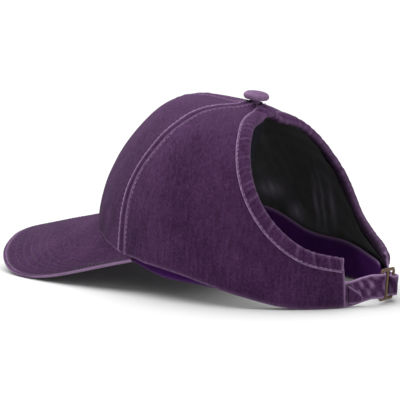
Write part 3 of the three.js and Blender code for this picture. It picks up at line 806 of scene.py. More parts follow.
def dark_satin(name, tint):
    """The thin lining and its seam tapes: dark, with a dull gloss that changes in patches; the colour is
    lightened in those patches as painted sheen, and by the painted highlights of the gleams.
    """
    finish = Finish(name, Sheen_Weight=0.1)
    patch = finish.noise(finish.cloth(1.0, 0.35), 42.0, 3.0)
    crease = finish.noise(finish.cloth(1.0, 0.12), 260.0, 3.0)
    # light is the colour of the painted sheen, which the patches and the gleams mix into the dark tint.
    light = tuple(min(1.0, part * 24.0) for part in tint)
    gleam = finish.attribute("fade_and_painted_light")
    base = finish.mixed(tint, light, (patch * 0.5 - 0.22 + gleam).clamped())
    gloss = (0.85 - patch * 0.5 - gleam * 0.2).clamped()
    weave = finish.waves(finish.cloth(1.0, 1.0, math.radians(45)), 700.0)
    return finish.paint(base, gloss, crease * 1.2 + weave * 0.15, 0.5 * MM)


def aged_brass():
    """Brass with dull dark patches and a brighter rubbed edge."""
    c = colours()
    finish = Finish("aged_brass", Metallic=0.9)
    place = finish.node("ShaderNodeTexCoord").outputs["Object"]
    patch = finish.noise(place, 240.0, 4.0)
    scratch = finish.noise(place, 2600.0, 2.0)
    dark = tuple(part * 0.35 for part in c.brass)
    base = finish.mixed(dark, tuple(c.brass), (patch * 1.3 - 0.1 + finish.attribute("wear")).clamped())
    return finish.paint(base, (0.62 - patch * 0.3).clamped(), scratch, 0.03 * MM)


# The crown

SEAM_RIDGE = 3.4 * MM
SEAM_STITCH = 4.6 * MM
END_PART = 2
OPENING_PART = 18
CENTRE_PART = 2
REAR_PARTS = END_PART + OPENING_PART + CENTRE_PART

def beside_seam(turn, lift, way, gap=0.12 * MM):
    """A turn moved aside by half a seam's gap, at that distance from the apex."""
    at = crown_point(turn, lift)
    return turn + way * gap / 2 / np.hypot(at[..., 0], at[..., 1] - sizes().apex_back)


def seam_line(turn_at, way, share):
    """A line up the dome from the foot to the hole at the apex, beside a seam."""
    lift = share * lift_at_radius(turn_at(np.array(QUARTER_TURN)), sizes().apex_hole)
    return beside_seam(turn_at(lift), lift, way), lift


def centre_turn(lift):
    return np.zeros_like(lift)


def front_seam_turn(lift):
    return np.radians(curve_through(FRONT_SEAM, lift / QUARTER_TURN))


def positive(turn):
    return np.where(turn < 0, turn + 2 * HALF_TURN, turn)


def rear_line(side, share):
    """A side panel's rear line: up its rear end, round the opening inside the binding's fold, and
    along the centre back to the hole at the apex, each over its part of the rows."""
    s = sizes()
    row = share * REAR_PARTS
    top = END_PART + OPENING_PART
    way = np.clip((row - END_PART) / OPENING_PART, 0, 1)
    way = way if side > 0 else 2 - way
    clear = s.binding_cloth + s.fold_room
    turn, lift = walk(*opening_place(way), away_from_opening(way), clear)
    turn = positive(side * turn)
    hole = lift_at_radius(np.array(HALF_TURN), s.apex_hole)
    below = np.clip(row / END_PART, 0, 1)
    above = np.clip((row - top) / CENTRE_PART, 0, 1)
    crest = blend(lift, hole, above)
    turn = np.where(row < top, turn, HALF_TURN)
    lift = np.where(row < END_PART, lift * below, crest)
    limit = beside_seam(np.full_like(turn, HALF_TURN), lift, -1)
    return np.where(row < END_PART, turn, np.minimum(turn, limit)), lift


def panel_places(front_line, back_line, columns=44, fine=20, reach=7 * MM):
    """Places of a panel between two lines up the dome: close columns within reach of both lines
    and even ones between them, by true distance along each row."""
    share = np.linspace(0, 1, 33)[:, None]
    turn = blend(front_line[0], back_line[0], share)
    lift = blend(front_line[1], back_line[1], share)
    run = travelled(crown_point(turn, lift), 0)
    width = run[-1]
    near = np.minimum(reach, width * 0.42)
    edge = np.linspace(0, 1, fine + 1)[:, None] ** 1.25 * near
    middle = blend(near, width - near, np.linspace(0, 1, columns + 1)[1:-1, None])
    wanted = np.concatenate([edge, middle, width - edge[::-1]])
    place = np.stack([np.interp(*row) for row in zip(wanted.T, run.T, [share[:, 0]] * len(width))], -1)
    return (blend(front_line[0], back_line[0], place), blend(front_line[1], back_line[1], place))


def rows_up(count):
    """Shares up the dome, closer together at the foot."""
    t = np.linspace(0, 1, count)
    return blend(t * t, t, 0.75)


def seam_relief(distance, along, seed):
    """The cloth beside a seam: a little down into it, up over the edge of its turned cloth and
    down under the stitches, each a round hill or hollow, with irregular puckers along it."""
    pull = 1 + 0.5 * ripple(along, distance, 8 * MM, 30 * MM, seed)
    seam = -0.14 * MM * bump(distance, 0, 0.8 * MM)
    edges = 0.36 * MM * bump(distance, SEAM_RIDGE, 0.8 * MM)
    sewn = -0.24 * MM * bump(distance, SEAM_STITCH, 0.5 * MM)
    return seam + (edges + sewn) * pull


def cloth_normals(points):
    return unit(np.cross(np.gradient(points, axis=0), np.gradient(points, axis=1)))


def line_at(points, run, distance):
    """The line over a grid that stays at a distance along each row."""
    rows = range(points.shape[1])
    return np.array([[np.interp(distance, run[:, row], points[:, row, axis]) for axis in range(3)]
                     for row in rows])


def crown_panel(side, front_line, back_line, seed, sewn_behind, sewing):
    """A panel's cloth: relief and wear beside its seams, rolled at its edges, and its stitches."""
    s = sizes()
    turn, lift = panel_places(front_line, back_line)
    turn = side * turn
    face = crown_point(turn, lift)
    normal = crown_normal(turn, lift)
    ahead = travelled(face, 0)
    behind = ahead[-1] - ahead
    up = travelled(face, 1)
    relief = seam_relief(ahead, up, seed) + sewn_behind * seam_relief(behind, up, seed + 1)
    relief = relief + uneven(turn, lift)
    past_peak = (np.degrees(np.abs(wrap(turn))) - math.degrees(s.peak_corner)) / 5
    on_peak = front_edge_height() + peak_drop(face[..., 0], face[..., 1]) + 0.5 * MM
    raised = np.maximum(on_peak - face[..., 2], 0)[:, :1] * np.clip(1.4 - past_peak[:, :1], 0, 1)
    face = face + normal * relief[..., None]
    face[..., 2] += raised * np.clip(1 - up / (15 * MM), 0, 1)
    edge = np.minimum(np.minimum(ahead, behind), up)
    roll = rolled(edge, s.cloth)[..., None] * normal
    ridge_ahead = bump(ahead, SEAM_RIDGE, 0.7 * MM)
    ridge_behind = bump(behind, SEAM_RIDGE, 0.7 * MM)
    seam_wear = 0.55 * ridge_ahead + sewn_behind * ridge_behind
    wear = 0.8 * seam_wear + 0.8 * bump(behind, 0, 1.2 * MM) * (1 - sewn_behind)
    wear = wear + 0.35 * bump(up, 0, 1.2 * MM)
    # Lighter towards the top of the dome, with broad random patches.
    fade_and_painted_light = 0.3 * smooth(np.sin(lift), 0.55, 1.0) + 0.12 * ripple(ahead, up, 60 * MM, 50 * MM, seed + 2)
    across = np.stack([side * (ahead - ahead[-1] / 2), up], -1)
    cloth = Cloth()
    cloth.wall(face - roll, face - normal * s.cloth + roll, across, wear, fade_and_painted_light)
    wide = ahead[-1] > 10 * MM
    sewn = wide & (sewn_behind[0] > 0.5)
    for away, rows, turned in ((ahead, wide, slice(None)), (behind, sewn, slice(None, None, -1))):
        if rows.any():
            points = line_at(face[turned], away[turned], SEAM_STITCH)
            normals = line_at(normal[turned], away[turned], SEAM_STITCH)
            stitches(sewing, points[rows], normals[rows])
    return cloth


def uneven(turn, lift):
    """Broad unevenness that all the crown's layers share, under half a millimetre."""
    chart = to_chart(turn, lift)
    return 0.2 * MM * ripple(chart[..., 0], chart[..., 1], 0.3, 0.3, 5)


def build_panels():
    cotton = washed_cotton("washed_cotton")
    share = rows_up(150)
    sewing = Cloth()
    for side, name in ((1, "left"), (-1, "right")):
        centre = seam_line(centre_turn, 1, share)
        seam = seam_line(front_seam_turn, -1, share)
        both = np.ones((1, len(share)))
        front = crown_panel(side, centre, seam, 11 + side, both, sewing)
        front.piece("front_panel_" + name, ["front_" + name], "washed_cotton", cotton)
        ahead = seam_line(front_seam_turn, 1, share)
        crest = np.where(share * REAR_PARTS > END_PART + OPENING_PART, 1.0, 0.0)[None]
        panel = crown_panel(side, ahead, rear_line(side, share), 21 + side, crest, sewing)
        panel.piece("side_panel_" + name, ["side_" + name], "washed_cotton", cotton)
    thread = thread_finish("sewing_thread", colours().faded, -0.55)
    sewing.piece("crown_stitches", None, "worn_cotton", thread)


def build_binding():
    """The folded tape round the opening: its section runs from the outer leaf's stitched edge,
    over a puffed middle, round the fold and in along the inner leaf."""
    s = sizes()
    columns, rows = 620, 40
    way = np.linspace(0, 2, columns)
    edge = crown_point(*opening_place(way))
    run = travelled(edge, 0)
    width, half = s.binding_width, s.binding_cloth / 2
    inside = -s.cloth - s.binding_gap - half
    section = [
        (width, half + 0.12 * MM), (width - 1.3 * MM, half), (width * 0.66, half + 0.75 * MM),
        (width * 0.36, half + 0.95 * MM), (2.2 * MM, half + 0.8 * MM), (half + 0.1 * MM, 0.3 * MM),
        (half, -1.1 * MM), (2 * MM, inside + 0.2 * MM), (width * 0.5, inside),
        (width - 1.3 * MM, inside + 0.35 * MM), (width, inside + 0.1 * MM)]
    share = np.linspace(0, 1, rows)
    centre = route_through(section, share)
    slope = np.gradient(centre, axis=0)
    facing = unit(np.stack([slope[:, 1], -slope[:, 0]], -1))
    if facing[0, 1] < 0:
        facing = -facing
    along_profile = travelled(centre, 0)
    edge_off = np.minimum(along_profile, along_profile[-1] - along_profile)
    end_off = np.minimum(run, run[-1] - run)
    off = np.minimum(edge_off[None], end_off[:, None])
    thick = half - rolled(off, s.binding_cloth)
    squeeze = 0.75 * bump(end_off, 0, 1.4 * MM)[:, None]
    at_top = bump(way, 1, 0.45)[:, None]
    lobe = np.sin(np.clip(centre[:, 0] / (width - 1.3 * MM), 0, 1) * HALF_TURN)[None] ** 0.7
    near_rim = bump(centre[:, 0], 0, 2.5 * MM)[None]
    lean = run[:, None] + 0.35 * centre[None, :, 0]
    still = 0 * lean
    fine = ripple(lean, still, 3.6 * MM, MM, 31, 9)
    broad = ripple(lean, still, 8 * MM, MM, 32)
    pucker = fine * 0.6 + broad * 0.4
    high = (0.2 * MM + 0.3 * MM * at_top) * pucker * lobe
    in_out = 0.18 * MM * near_rim * ripple(lean, still, 4.5 * MM, MM, 33)
    away = away_from_opening(way)[:, None]
    turn, lift = (values[:, None] for values in opening_place(way))

    def face(sign):
        reach = centre[None, :, 0] + sign * thick * facing[None, :, 0] + in_out
        swell = high * np.sign(facing[None, :, 1] + 0.2)
        out = centre[None, :, 1] + sign * thick * facing[None, :, 1] + swell
        out = blend(out, -s.cloth / 2, squeeze)
        place = walk(np.broadcast_to(turn, reach.shape), np.broadcast_to(lift, reach.shape), away, reach)
        return layer_point(*place, -out - uneven(*place))

    outer, inner = face(1), face(-1)
    worn = 0.95 * bump(along_profile, 0, 0.9 * MM) + 0.3 * bump(centre[:, 0], 0, 1.3 * MM)
    wear = worn[None] * (0.75 + 0.3 * pucker) + 0.8 * bump(end_off, 0, 1.5 * MM)[:, None]
    wear = np.clip(wear + 0.4 * np.clip(pucker - 0.25, 0, 1) * lobe, 0, 1.2)
    across = np.stack(np.broadcast_arrays(run[:, None], along_profile[None]), -1)
    cloth = Cloth()
    # Painted shade: the inner leaf on the right side is darkened and loses most of its wear. Painted
    # light: the binding is lighter towards the top of the opening. It is also a little lighter on the
    # puckers' crests.
    within = smooth(centre[None, :, 1], half, inside) * smooth(way, 1.02, 1.2)[:, None]
    fade_and_painted_light = 0.5 * at_top - 0.1 + 0.2 * pucker - 1.2 * within
    wear = wear * (1 - 0.8 * within)
    cloth.wall(outer, inner, across, wear, fade_and_painted_light)
    cotton = washed_cotton("worn_cotton", 0.1)
    cloth.piece("opening_edge_binding", ["opening_binding"], "worn_cotton", cotton)
    sewing = Cloth()
    normals = cloth_normals(outer)
    middle = columns // 2
    turn_there, lift_there = (value[middle] for value in opening_place(way))
    if (normals[middle, 4] * crown_normal(turn_there, lift_there)).sum() < 0:
        normals = -normals
    groove = int(np.argmin(np.abs(along_profile - 1.35 * MM)))
    stitches(sewing, outer[4:-4, groove], normals[4:-4, groove], 0.05 * MM)
    thread = thread_finish("sewing_thread", colours().faded, -0.55)
    sewing.piece("binding_stitches", None, "worn_cotton", thread)


def build_lining():
    """The thin lining inside the panels, drawn in by shallow wrinkles, from behind the
    sweatband's edge to the apex and back to the binding's inner leaf."""
    s = sizes()
    reach = s.binding_width + 2 * MM
    way = np.linspace(0, 1, 120)
    borders = {}
    for side in (1, -1):
        at = way if side > 0 else 2 - way
        turn, lift = walk(*opening_place(at), away_from_opening(at), reach)
        order = np.argsort(lift)
        borders[side] = lift[order], positive(side * turn)[order]
    near = np.linspace(-1, 1, 200)[:, None]
    up = np.linspace(0, 1, 90)[None]
    seen = near * HALF_TURN * 0.75
    low = lift_at_height(seen, s.sweatband_height - s.lining_tuck)
    high = lift_at_radius(seen, 1.8 * s.apex_hole)
    lift = blend(low, high, up)
    back = np.where(near < 0, np.interp(lift, *borders[-1]), np.interp(lift, *borders[1]))
    turn = near * back
    chart = to_chart(turn, lift)
    wrinkle = ripple(chart[..., 0], chart[..., 1], 0.16, 0.4, 41)
    wrinkle = wrinkle + 0.6 * ripple(chart[..., 1], chart[..., 0], 0.1, 0.3, 42)
    depth = s.cloth + s.binding_gap + np.clip(0.35 * MM + 0.3 * MM * wrinkle, 0, 1.0 * MM)
    outer = layer_point(turn, lift, depth)
    inner = layer_point(turn, lift, depth + s.lining_cloth)
    across = np.stack([travelled(outer, 0), travelled(outer, 1)], -1)
    # Painted highlights: the gleams lighten the lining's colour on its right side, in uneven patches.
    gleam = sum(bump(inner[..., 1], row["back"] * MM, row["wide"] * MM)
                * bump(inner[..., 2], row["up"] * MM, row["tall"] * MM) for row in GLEAMS)
    patchy = 0.8 + 0.5 * ripple(inner[..., 1], inner[..., 2], 5 * MM, 16 * MM, 47)
    gleam = gleam * (inner[..., 0] < 0) * patchy
    cloth = Cloth()
    cloth.wall(outer, inner, across, 0, np.clip(gleam, 0, 1.2))
    satin = dark_satin("black_satin", tuple(colours().lining))
    cloth.piece("lining", ["crown_lining"], "black_satin", satin)
    tapes = Cloth()
    for turn_at, side in ((front_seam_turn, 1), (front_seam_turn, -1), (centre_turn, 1)):
        seam_tape(tapes, turn_at, side)
    tapes.piece("seam_tapes", None, "black_satin", dark_satin("seam_tape", tuple(colours().tape)))


def seam_tape(cloth, turn_at, side):
    """A tape over a seam inside, ten millimetres wide and slightly puffed along its middle."""
    s = sizes()
    columns, rows = 21, 120
    half_width = 5 * MM
    share = np.linspace(0.2, 0.93, rows)
    turn, lift = seam_line(turn_at, 0, share)
    middle = crown_point(side * turn, lift)
    place = [np.broadcast_to(values, (columns, rows)) for values in (side * turn, lift)]
    along = unit(np.gradient(middle, axis=0))
    aside = np.cross(along, crown_normal(side * turn, lift))[None]
    reach = np.linspace(-half_width, half_width, columns)[:, None] * np.ones((1, rows))
    turn, lift = walk(*place, aside, reach)
    puff = 0.3 * MM * np.sqrt(np.clip(1 - (reach / half_width) ** 2, 0, 1))
    depth = s.cloth + s.binding_gap + s.lining_cloth + 0.55 * MM
    run = np.broadcast_to(travelled(middle, 0)[None], reach.shape)
    wave = 0.12 * MM * ripple(run, reach, 9 * MM, 20 * MM, 44)
    across = np.stack([reach, run], -1)
    face = layer_point(turn, lift, depth)
    back = layer_point(turn, lift, depth + 0.5 * MM + puff + wave)
    cloth.wall(face, back, across)


def build_sweatband():
    """The band inside the crown's lower edge, with soft ripples and a worn piped upper edge. It
    hangs below the crown's sides and stands higher at the right rear."""
    s = sizes()
    outer_depth = s.cloth + 5 * LAYER_GAP + s.strap_cloth
    end = rear_end_turn() - math.radians(3)
    turn = np.linspace(-end, end, 420)[:, None] * np.ones((1, 34))
    t = np.linspace(0, 1, 34)
    up = ((1 - np.cos(HALF_TURN * t)) / 2 * 0.5 + 0.5 * t)[None]
    stands = 4 * MM * bump(np.degrees(turn), -104, 24)
    lift = lift_at_height(turn, up * (s.sweatband_height + stands))
    hang = s.sweatband_hang * bump(np.degrees(np.abs(turn)), 86, 18) * np.clip(1 - up * 5, 0, 1)
    run = turn * s.head_width / 2
    swell = ripple(run, up, 26 * MM, 1.5, 51)
    pipe = bump(up, 0.965, 0.035)
    centre = layer_point(turn, lift, outer_depth + s.sweatband_cloth / 2 - 0.25 * MM * swell * (1 - pipe))
    centre[..., 2] = np.maximum(centre[..., 2] - hang, s.sweatband_cloth / 2)
    high = travelled(centre, 1)
    edge = np.minimum(high, high[:, -1:] - high)
    edge = np.minimum(edge, np.minimum(run + end * s.head_width / 2, end * s.head_width / 2 - run))
    normal = crown_normal(turn, np.maximum(lift, 0.02))
    wear = 0.75 * bump(high[:, -1:] - high, 0, 1.6 * MM) + 0.25 * bump(high, 0, 1.2 * MM)
    across = np.stack([run, high], -1)
    # Painted light: the band's colour brightens towards its right rear end.
    fade_and_painted_light = 0.9 * smooth(np.degrees(-turn), 112, 138)
    cloth = Cloth()
    tape_wall(cloth, centre, normal, s.sweatband_cloth, edge, across, wear, fade_and_painted_light)
    cloth.piece("sweat_band", ["sweatband"], "violet_twill", violet_twill())


def build_peak():
    """The peak: a bent plate with a full round rim and rows of stitches parallel to it, between
    which the cloth is slightly quilted."""
    s = sizes()
    share = np.sin(np.linspace(-1, 1, 200) * QUARTER_TURN * 0.985)
    share = np.concatenate([[-1], share, [1]])[:, None]
    t = np.linspace(0, 1, 100)[None]
    out = 1 - (1 - t) ** 1.35
    rim_x, rim_y = peak_rim(share)
    root_x, root_y = peak_root(share)
    x, y = blend(root_x, rim_x, out), blend(root_y, rim_y, out)
    z = front_edge_height() + peak_drop(x, y)
    face = np.stack([x, y, z], -1)
    normal = peak_normal(x)
    run = travelled(face, 1)
    off = run[:, -1:] - run
    first, apart = 5.5 * MM, 7 * MM
    rows = first + apart * np.arange(6)
    sewn = sum(bump(off, row, 0.55 * MM) for row in rows)
    quilted = np.abs(np.sin((off - first) / apart * HALF_TURN))
    relief = 0.1 * MM * quilted * (off > first) - 0.14 * MM * sewn
    relief = relief + 0.12 * MM * ripple(x, y, 26 * MM, 26 * MM, 61)
    roll = rolled(off, s.peak_thickness)[..., None] * normal
    under = face - normal * s.peak_thickness
    top = face + normal * relief[..., None] - roll
    wear = 0.95 * bump(off, 0, 1.1 * MM) + 0.42 * bump(off, 3.6 * MM, 0.9 * MM) + 0.05 * sewn
    across = np.stack([x, off], -1)
    fade_and_painted_light = 0.12 * ripple(x, y, 50 * MM, 30 * MM, 62)
    cloth = Cloth()
    cloth.wall(top, under + roll, across, wear, fade_and_painted_light + np.zeros_like(x))
    cloth.piece("peak_cloth", ["peak"], "washed_cotton", washed_cotton("peak_cotton"))
    sewing = Cloth()
    from_rim = off[:, ::-1].T
    top_rows, normal_rows = (values[:, ::-1].swapaxes(0, 1) for values in (top, normal))
    for row in rows:
        deep = off[:, 0] > row + 4 * MM
        points = line_at(top_rows, from_rim, row)
        normals = line_at(normal_rows, from_rim, row)
        stitches(sewing, points[deep], normals[deep], 0.1 * MM)
    thread = thread_finish("peak_thread", colours().dyed, -1.2)
    sewing.piece("peak_stitches", None, "worn_cotton", thread)


def build_button():
    """The covered button: a domed disc whose cloth gathers towards its rim."""
    s = sizes()
    radius, tall = s.button_width / 2, s.button_height
    shank = 0.7 * s.apex_hole
    profile = [
        (shank, -s.apex_rise - s.cloth), (shank, 0), (radius * 0.85, 0), (radius, tall * 0.3),
        (radius * 0.97, tall * 0.6), (radius * 0.8, tall * 0.85), (radius * 0.45, tall * 0.98),
        (0.001 * MM, tall)]
    line = route_through(profile, np.linspace(0, 1, 60))
    swing = np.linspace(0, 2 * HALF_TURN, 145)[:-1, None]
    near_rim = bump(line[:, 0], radius, 0.3 * radius)[None]
    gather = ripple(swing * radius, 0 * swing, 2.6 * MM, MM, 71) * near_rim * 0.12 * MM
    reach = line[None, :, 0] + gather
    lean = Matrix.Rotation(-s.button_lean, 3, "X")
    across = np.stack([reach * np.cos(swing), reach * np.sin(swing)], -1)
    level = np.broadcast_to(line[None, :, 1], reach.shape)
    flat = np.concatenate([across, level[..., None]], -1)
    points = flat @ np.array(lean).T
    points = points + np.array([0, s.apex_back, s.crown_height + s.apex_rise + LAYER_GAP])
    wear = 0.35 + 0.35 * bump(line[:, 0], radius * 0.93, 0.12 * radius)[None]
    cloth = Cloth()
    index = cloth.grid(points, across, wear, 0.5, closed=True)
    cloth.cap(index[:-1, 0])
    cloth.piece("covered_button", ["button"], "worn_cotton", washed_cotton("button_cotton", 0.35))


# The closure

def buckle_height():
    s = sizes()
    return s.strap_height + 2 * s.buckle_bar - s.strap_narrowing


def buckle_middle():
    return sizes().buckle_stand + buckle_height() / 2


def strap_middle():
    s = sizes()
    return s.cloth + LAYER_GAP + s.strap_cloth / 2


def freedom(turn):
    """How much a place round the back stands free of the crown's ends: the sine of half a turn
    times the share from the left end to the right, raised to the skew."""
    s = sizes()
    start = rear_end_turn() + 1.5 * MM / (s.head_width / 2)
    share = (positive(turn) - start) / (2 * (HALF_TURN - start))
    return np.sin(HALF_TURN * np.clip(share, 0, 1) ** s.closure_skew)


def closure_point(turn, height, depth):
    """A point of the closure: on the crown's own dome at the ends, bulging and leaning outwards
    between them."""
    s = sizes()
    point = layer_point(turn, lift_at_height(turn, np.maximum(height, 0)), depth)
    lean = s.strap_lean * (height - s.strap_height / 2)
    point = point + head_outward(turn) * (freedom(turn) * (s.strap_bulge + lean))[..., None]
    point[..., 2] = height
    return point


def buckle_turn():
    s = sizes()
    return HALF_TURN + math.asin(s.buckle_at * s.rear_gap / (s.head_width / 2))


def closure_turn(along):
    return buckle_turn() + along / (sizes().head_width / 2)


def along_to(turn):
    return (turn - buckle_turn()) * (sizes().head_width / 2)


def buckle_frame():
    """The frame at the buckle's middle: its origin, along the closure, up it and out of it."""
    def at(along, height):
        return closure_point(np.array(closure_turn(along)), np.array(height), strap_middle())

    origin = at(0.0, buckle_middle())
    along = unit(at(MM, buckle_middle()) - origin)
    up = unit(at(0.0, buckle_middle() + MM) - origin)
    out = unit(np.cross(along, up))
    return origin, along, unit(np.cross(out, along)), out


def threaded_point(along, height, out):
    """A point of what is threaded through the buckle: flat with it there, on the closure beyond."""
    s = sizes()
    along, height, out = np.broadcast_arrays(along, height, out)
    free = closure_point(closure_turn(along), height, strap_middle() - out)
    origin, forward, up, outward = buckle_frame()
    flat = (origin + along[..., None] * forward + (height - buckle_middle())[..., None] * up
            + out[..., None] * outward)
    beyond = smooth(np.abs(along), s.buckle_across / 2, s.buckle_across * 0.8)
    return blend(flat, free, beyond[..., None])


def tape_places():
    """Named places of the closure: the buckle's rail and bar, and the tapes over and round it."""
    s = sizes()
    rail, bar = s.buckle_across / 2, s.buckle_bar / 2
    over = s.buckle_thickness / 2 + s.buckle_clearance + s.strap_cloth / 2
    nose = rail - s.buckle_bar - s.buckle_clearance - s.strap_cloth / 2
    slot = (s.buckle_bar - rail - bar) / 2
    foot = s.buckle_stand + s.buckle_bar + s.buckle_clearance
    return rail, bar, over, nose, slot, foot


def tape(route, steps, edges_at, cloth, seed):
    """A tape threaded through the buckle along its route, with rounded worn edges and dimples."""
    s = sizes()
    rows = (1 - np.cos(np.linspace(0, HALF_TURN, 26))) / 2
    centre = route_through(route, np.linspace(0, 1, steps))
    slope = unit(np.gradient(centre, axis=0))
    run = travelled(centre, 0)
    end_off = np.minimum(run, run[-1] - run)[:, None]
    low, high = edges_at(centre[:, 0])
    height = blend(low[:, None], high[:, None], rows[None])
    off = np.minimum(np.minimum(height - low[:, None], high[:, None] - height), end_off)
    half = s.strap_cloth / 2 - rolled(off, s.strap_cloth)
    dimple = 0.32 * MM * ripple(run[:, None], height, 6 * MM, 8 * MM, seed) * smooth(off, 0, 3 * MM)

    def face(sign):
        reach = sign * half + dimple
        return threaded_point(
            centre[:, :1] - slope[:, 1:] * reach, height, centre[:, 1:] + slope[:, :1] * reach)

    wear = 1.1 * bump(off, 0, 1.0 * MM) + 0.1 + 0.5 * np.clip(dimple / (0.32 * MM), -0.2, 1)
    across = np.stack(np.broadcast_arrays(run[:, None], height), -1)
    cloth.wall(face(1), face(-1), across, wear, 0.0)


def build_closure():
    """The strap through the buckle, the loop round its far rail, the tab and the buckle."""
    s = sizes()
    rail, bar, over, nose, slot, foot = tape_places()
    cotton = washed_cotton("strap_cotton", 0.1)
    root = along_to(rear_end_turn())
    under = over + 2 * s.buckle_clearance + s.strap_cloth
    route = [
        (root - s.strap_root, 0), (root, 0), (blend(root, -rail, 0.5), 0),
        (-rail - 2.5 * MM, over * 0.7), (-rail, over), (-rail + s.buckle_bar, over), (slot, 0),
        (-bar - 0.5 * MM, -over), (bar, -over * 1.1), (nose - s.strap_cloth, -under),
        (rail + 4 * MM, -under)]
    top = s.buckle_stand + buckle_height() - s.buckle_bar - s.buckle_clearance

    def strap_edges(along):
        near = smooth(along, -1.9 * s.buckle_across, -rail)
        return foot * near, blend(s.strap_height - s.strap_drop, top, near)

    cloth = Cloth()
    tape(route, 260, strap_edges, cloth, 81)
    cloth.piece("strap", ["back_strap"], "washed_cotton", cotton)

    end = along_to(2 * HALF_TURN - rear_end_turn()) - MM
    loop_top = s.rear_end_height - s.right_end_drop - s.binding_width - MM
    route = [
        (end + s.strap_root, 0), (end + MM, 0), (end - 1.5 * MM, over), (rail - s.buckle_bar, over),
        (nose, over / 2), (nose, -over / 2), (rail - s.buckle_bar, -over), (end - 2 * MM, -over)]
    cloth = Cloth()
    tape(route, 120, lambda along: (foot + 0 * along, loop_top + 0 * along), cloth, 82)
    cloth.piece("loop", ["buckle_loop"], "washed_cotton", cotton)

    build_tab(cotton)
    build_buckle()


def build_tab(cotton):
    """The tongue over the strap's root, just past the left end of the crown. Its upper edge
    slants down to a round tip."""
    s = sizes()
    end_gap = 0.4 * MM
    start = along_to(rear_end_turn()) + 2 * end_gap + s.binding_cloth
    outer = s.cloth + LAYER_GAP - s.buckle_clearance - s.strap_cloth
    share = np.linspace(0, 1, 60) ** 0.8
    level = blend(s.tab_height / 2, 2.4 * MM, share)
    tall = 2 * level * np.sqrt(np.maximum(1 - share ** 7, 0.04))
    up = (1 - np.cos(np.linspace(0, HALF_TURN, 26))) / 2
    foot = 2 * MM
    height = foot + level[:, None] + tall[:, None] * (up[None] - 0.5)
    turn = closure_turn(start + s.tab_length * share)[:, None] * np.ones((1, 26))
    side_off = tall[:, None] * np.minimum(up, 1 - up)[None]
    off = np.minimum(side_off, (s.tab_length * (1 - share))[:, None])
    roll = rolled(off, s.strap_cloth)
    across = np.stack(np.broadcast_arrays((s.tab_length * share)[:, None], height), -1)
    face = closure_point(turn, height, outer + roll)
    back = closure_point(turn, height, outer + s.strap_cloth - roll)
    cloth = Cloth()
    cloth.wall(face, back, across, 0.85 * bump(off, 0, 0.9 * MM), 0.1)
    cloth.piece("tab", ["strap_tab"], "washed_cotton", cotton)


def build_buckle():
    """The brass frame: a rounded bar along a rounded rectangle, and a middle bar across it."""
    s = sizes()
    origin, along, up, out = buckle_frame()
    basis = np.stack([along, up, out])
    half_across, half_tall = (s.buckle_across - s.buckle_bar) / 2, (buckle_height() - s.buckle_bar) / 2
    corner = 1.4 * MM
    swing = np.linspace(0, 2 * HALF_TURN, 161)[:-1]
    quarter = np.floor(swing / QUARTER_TURN) * QUARTER_TURN + QUARTER_TURN / 2
    middle = np.stack([np.sign(np.cos(quarter)) * (half_across - corner),
                       np.sign(np.sin(quarter)) * (half_tall - corner)], -1)
    outward = np.stack([np.cos(swing), np.sin(swing)], -1)
    round_bar = np.linspace(0, 2 * HALF_TURN, 17)[:-1]
    reach = corner + s.buckle_bar / 2 * np.cos(round_bar)
    flat = middle[:, None] + outward[:, None] * reach[None, :, None]
    high = np.broadcast_to(s.buckle_thickness / 2 * np.sin(round_bar), flat.shape[:2])
    rim = np.concatenate([flat, high[..., None]], -1)
    rim = np.concatenate([rim, rim[:, :1]], 1)
    metal = Cloth()
    rubbed = 0.35 * np.clip(np.sin(np.linspace(0, 2 * HALF_TURN, 17)), 0, 1)[None] * np.ones((160, 1))
    metal.grid(origin + rim @ basis, (0.0, 0.0), rubbed, closed=True)
    ends = np.linspace(-half_tall, half_tall, 24)[:, None]
    swing = np.linspace(0, 2 * HALF_TURN, 17)[None]
    bar = np.stack(np.broadcast_arrays(
        s.buckle_bar / 2 * np.cos(swing), ends, s.buckle_thickness / 2 * np.sin(swing)), -1)
    metal.grid(origin + bar @ basis, (0.0, 0.0), 0.2)
    metal.piece("buckle_frame", ["buckle"], "aged_brass", aged_brass())


# The stage

def build_stage():
    """A pale table, a white surround, a broad overhead light, two fills and the camera."""
    scene = bpy.context.scene
    view = scene.cap_view
    scene.view_settings.view_transform = "Standard"

    floor = bpy.data.meshes.new("table")
    reach = 40.0
    corners = [(-reach, -reach, 0), (reach, -reach, 0), (reach, reach, 0), (-reach, reach, 0)]
    floor.from_pydata(corners, [], [(0, 1, 2, 3)])
    finish = Finish("table", Roughness=0.9)
    finish.shader.inputs["Base Color"].default_value = (*colours().table, 1)
    floor.materials.append(finish.material)
    table = bpy.data.objects.new("table", floor)
    scene.collection.objects.link(table)

    world = bpy.data.worlds.new("white_room")
    world.use_nodes = True
    world.node_tree.nodes["Background"].inputs["Color"].default_value = (1, 1, 1, 1)
    world.node_tree.nodes["Background"].inputs["Strength"].default_value = 0.35
    scene.world = world

    target = Vector((0, head_middle(), view.target_height))
    sun = bpy.data.lights.new("overhead_light", "SUN")
    sun.energy = 4.6
    sun.angle = math.radians(85)
    overhead = bpy.data.objects.new("overhead_light", sun)
    overhead.rotation_euler = (math.radians(20), math.radians(-6), 0)
    scene.collection.objects.link(overhead)
    lamp("front_fill", (0.5, -1.2, 0.5), target, 0.8, 2.5)
    lamp("rear_fill", (0.7, 1.1, 0.35), target, 0.7, 3.5)

    camera = bpy.data.objects.new("camera", bpy.data.cameras.new("camera"))
    scene.collection.objects.link(camera)
    scene.camera = camera
    aim_camera(camera, target)


def lamp(name, place, target, across, watts):
    light = bpy.data.lights.new(name, "AREA")
    light.size = across
    light.energy = watts
    thing = bpy.data.objects.new(name, light)
    thing.location = target + Vector(place)
    thing.rotation_euler = (-Vector(place)).to_track_quat("-Z", "Y").to_euler()
    bpy.context.scene.collection.objects.link(thing)


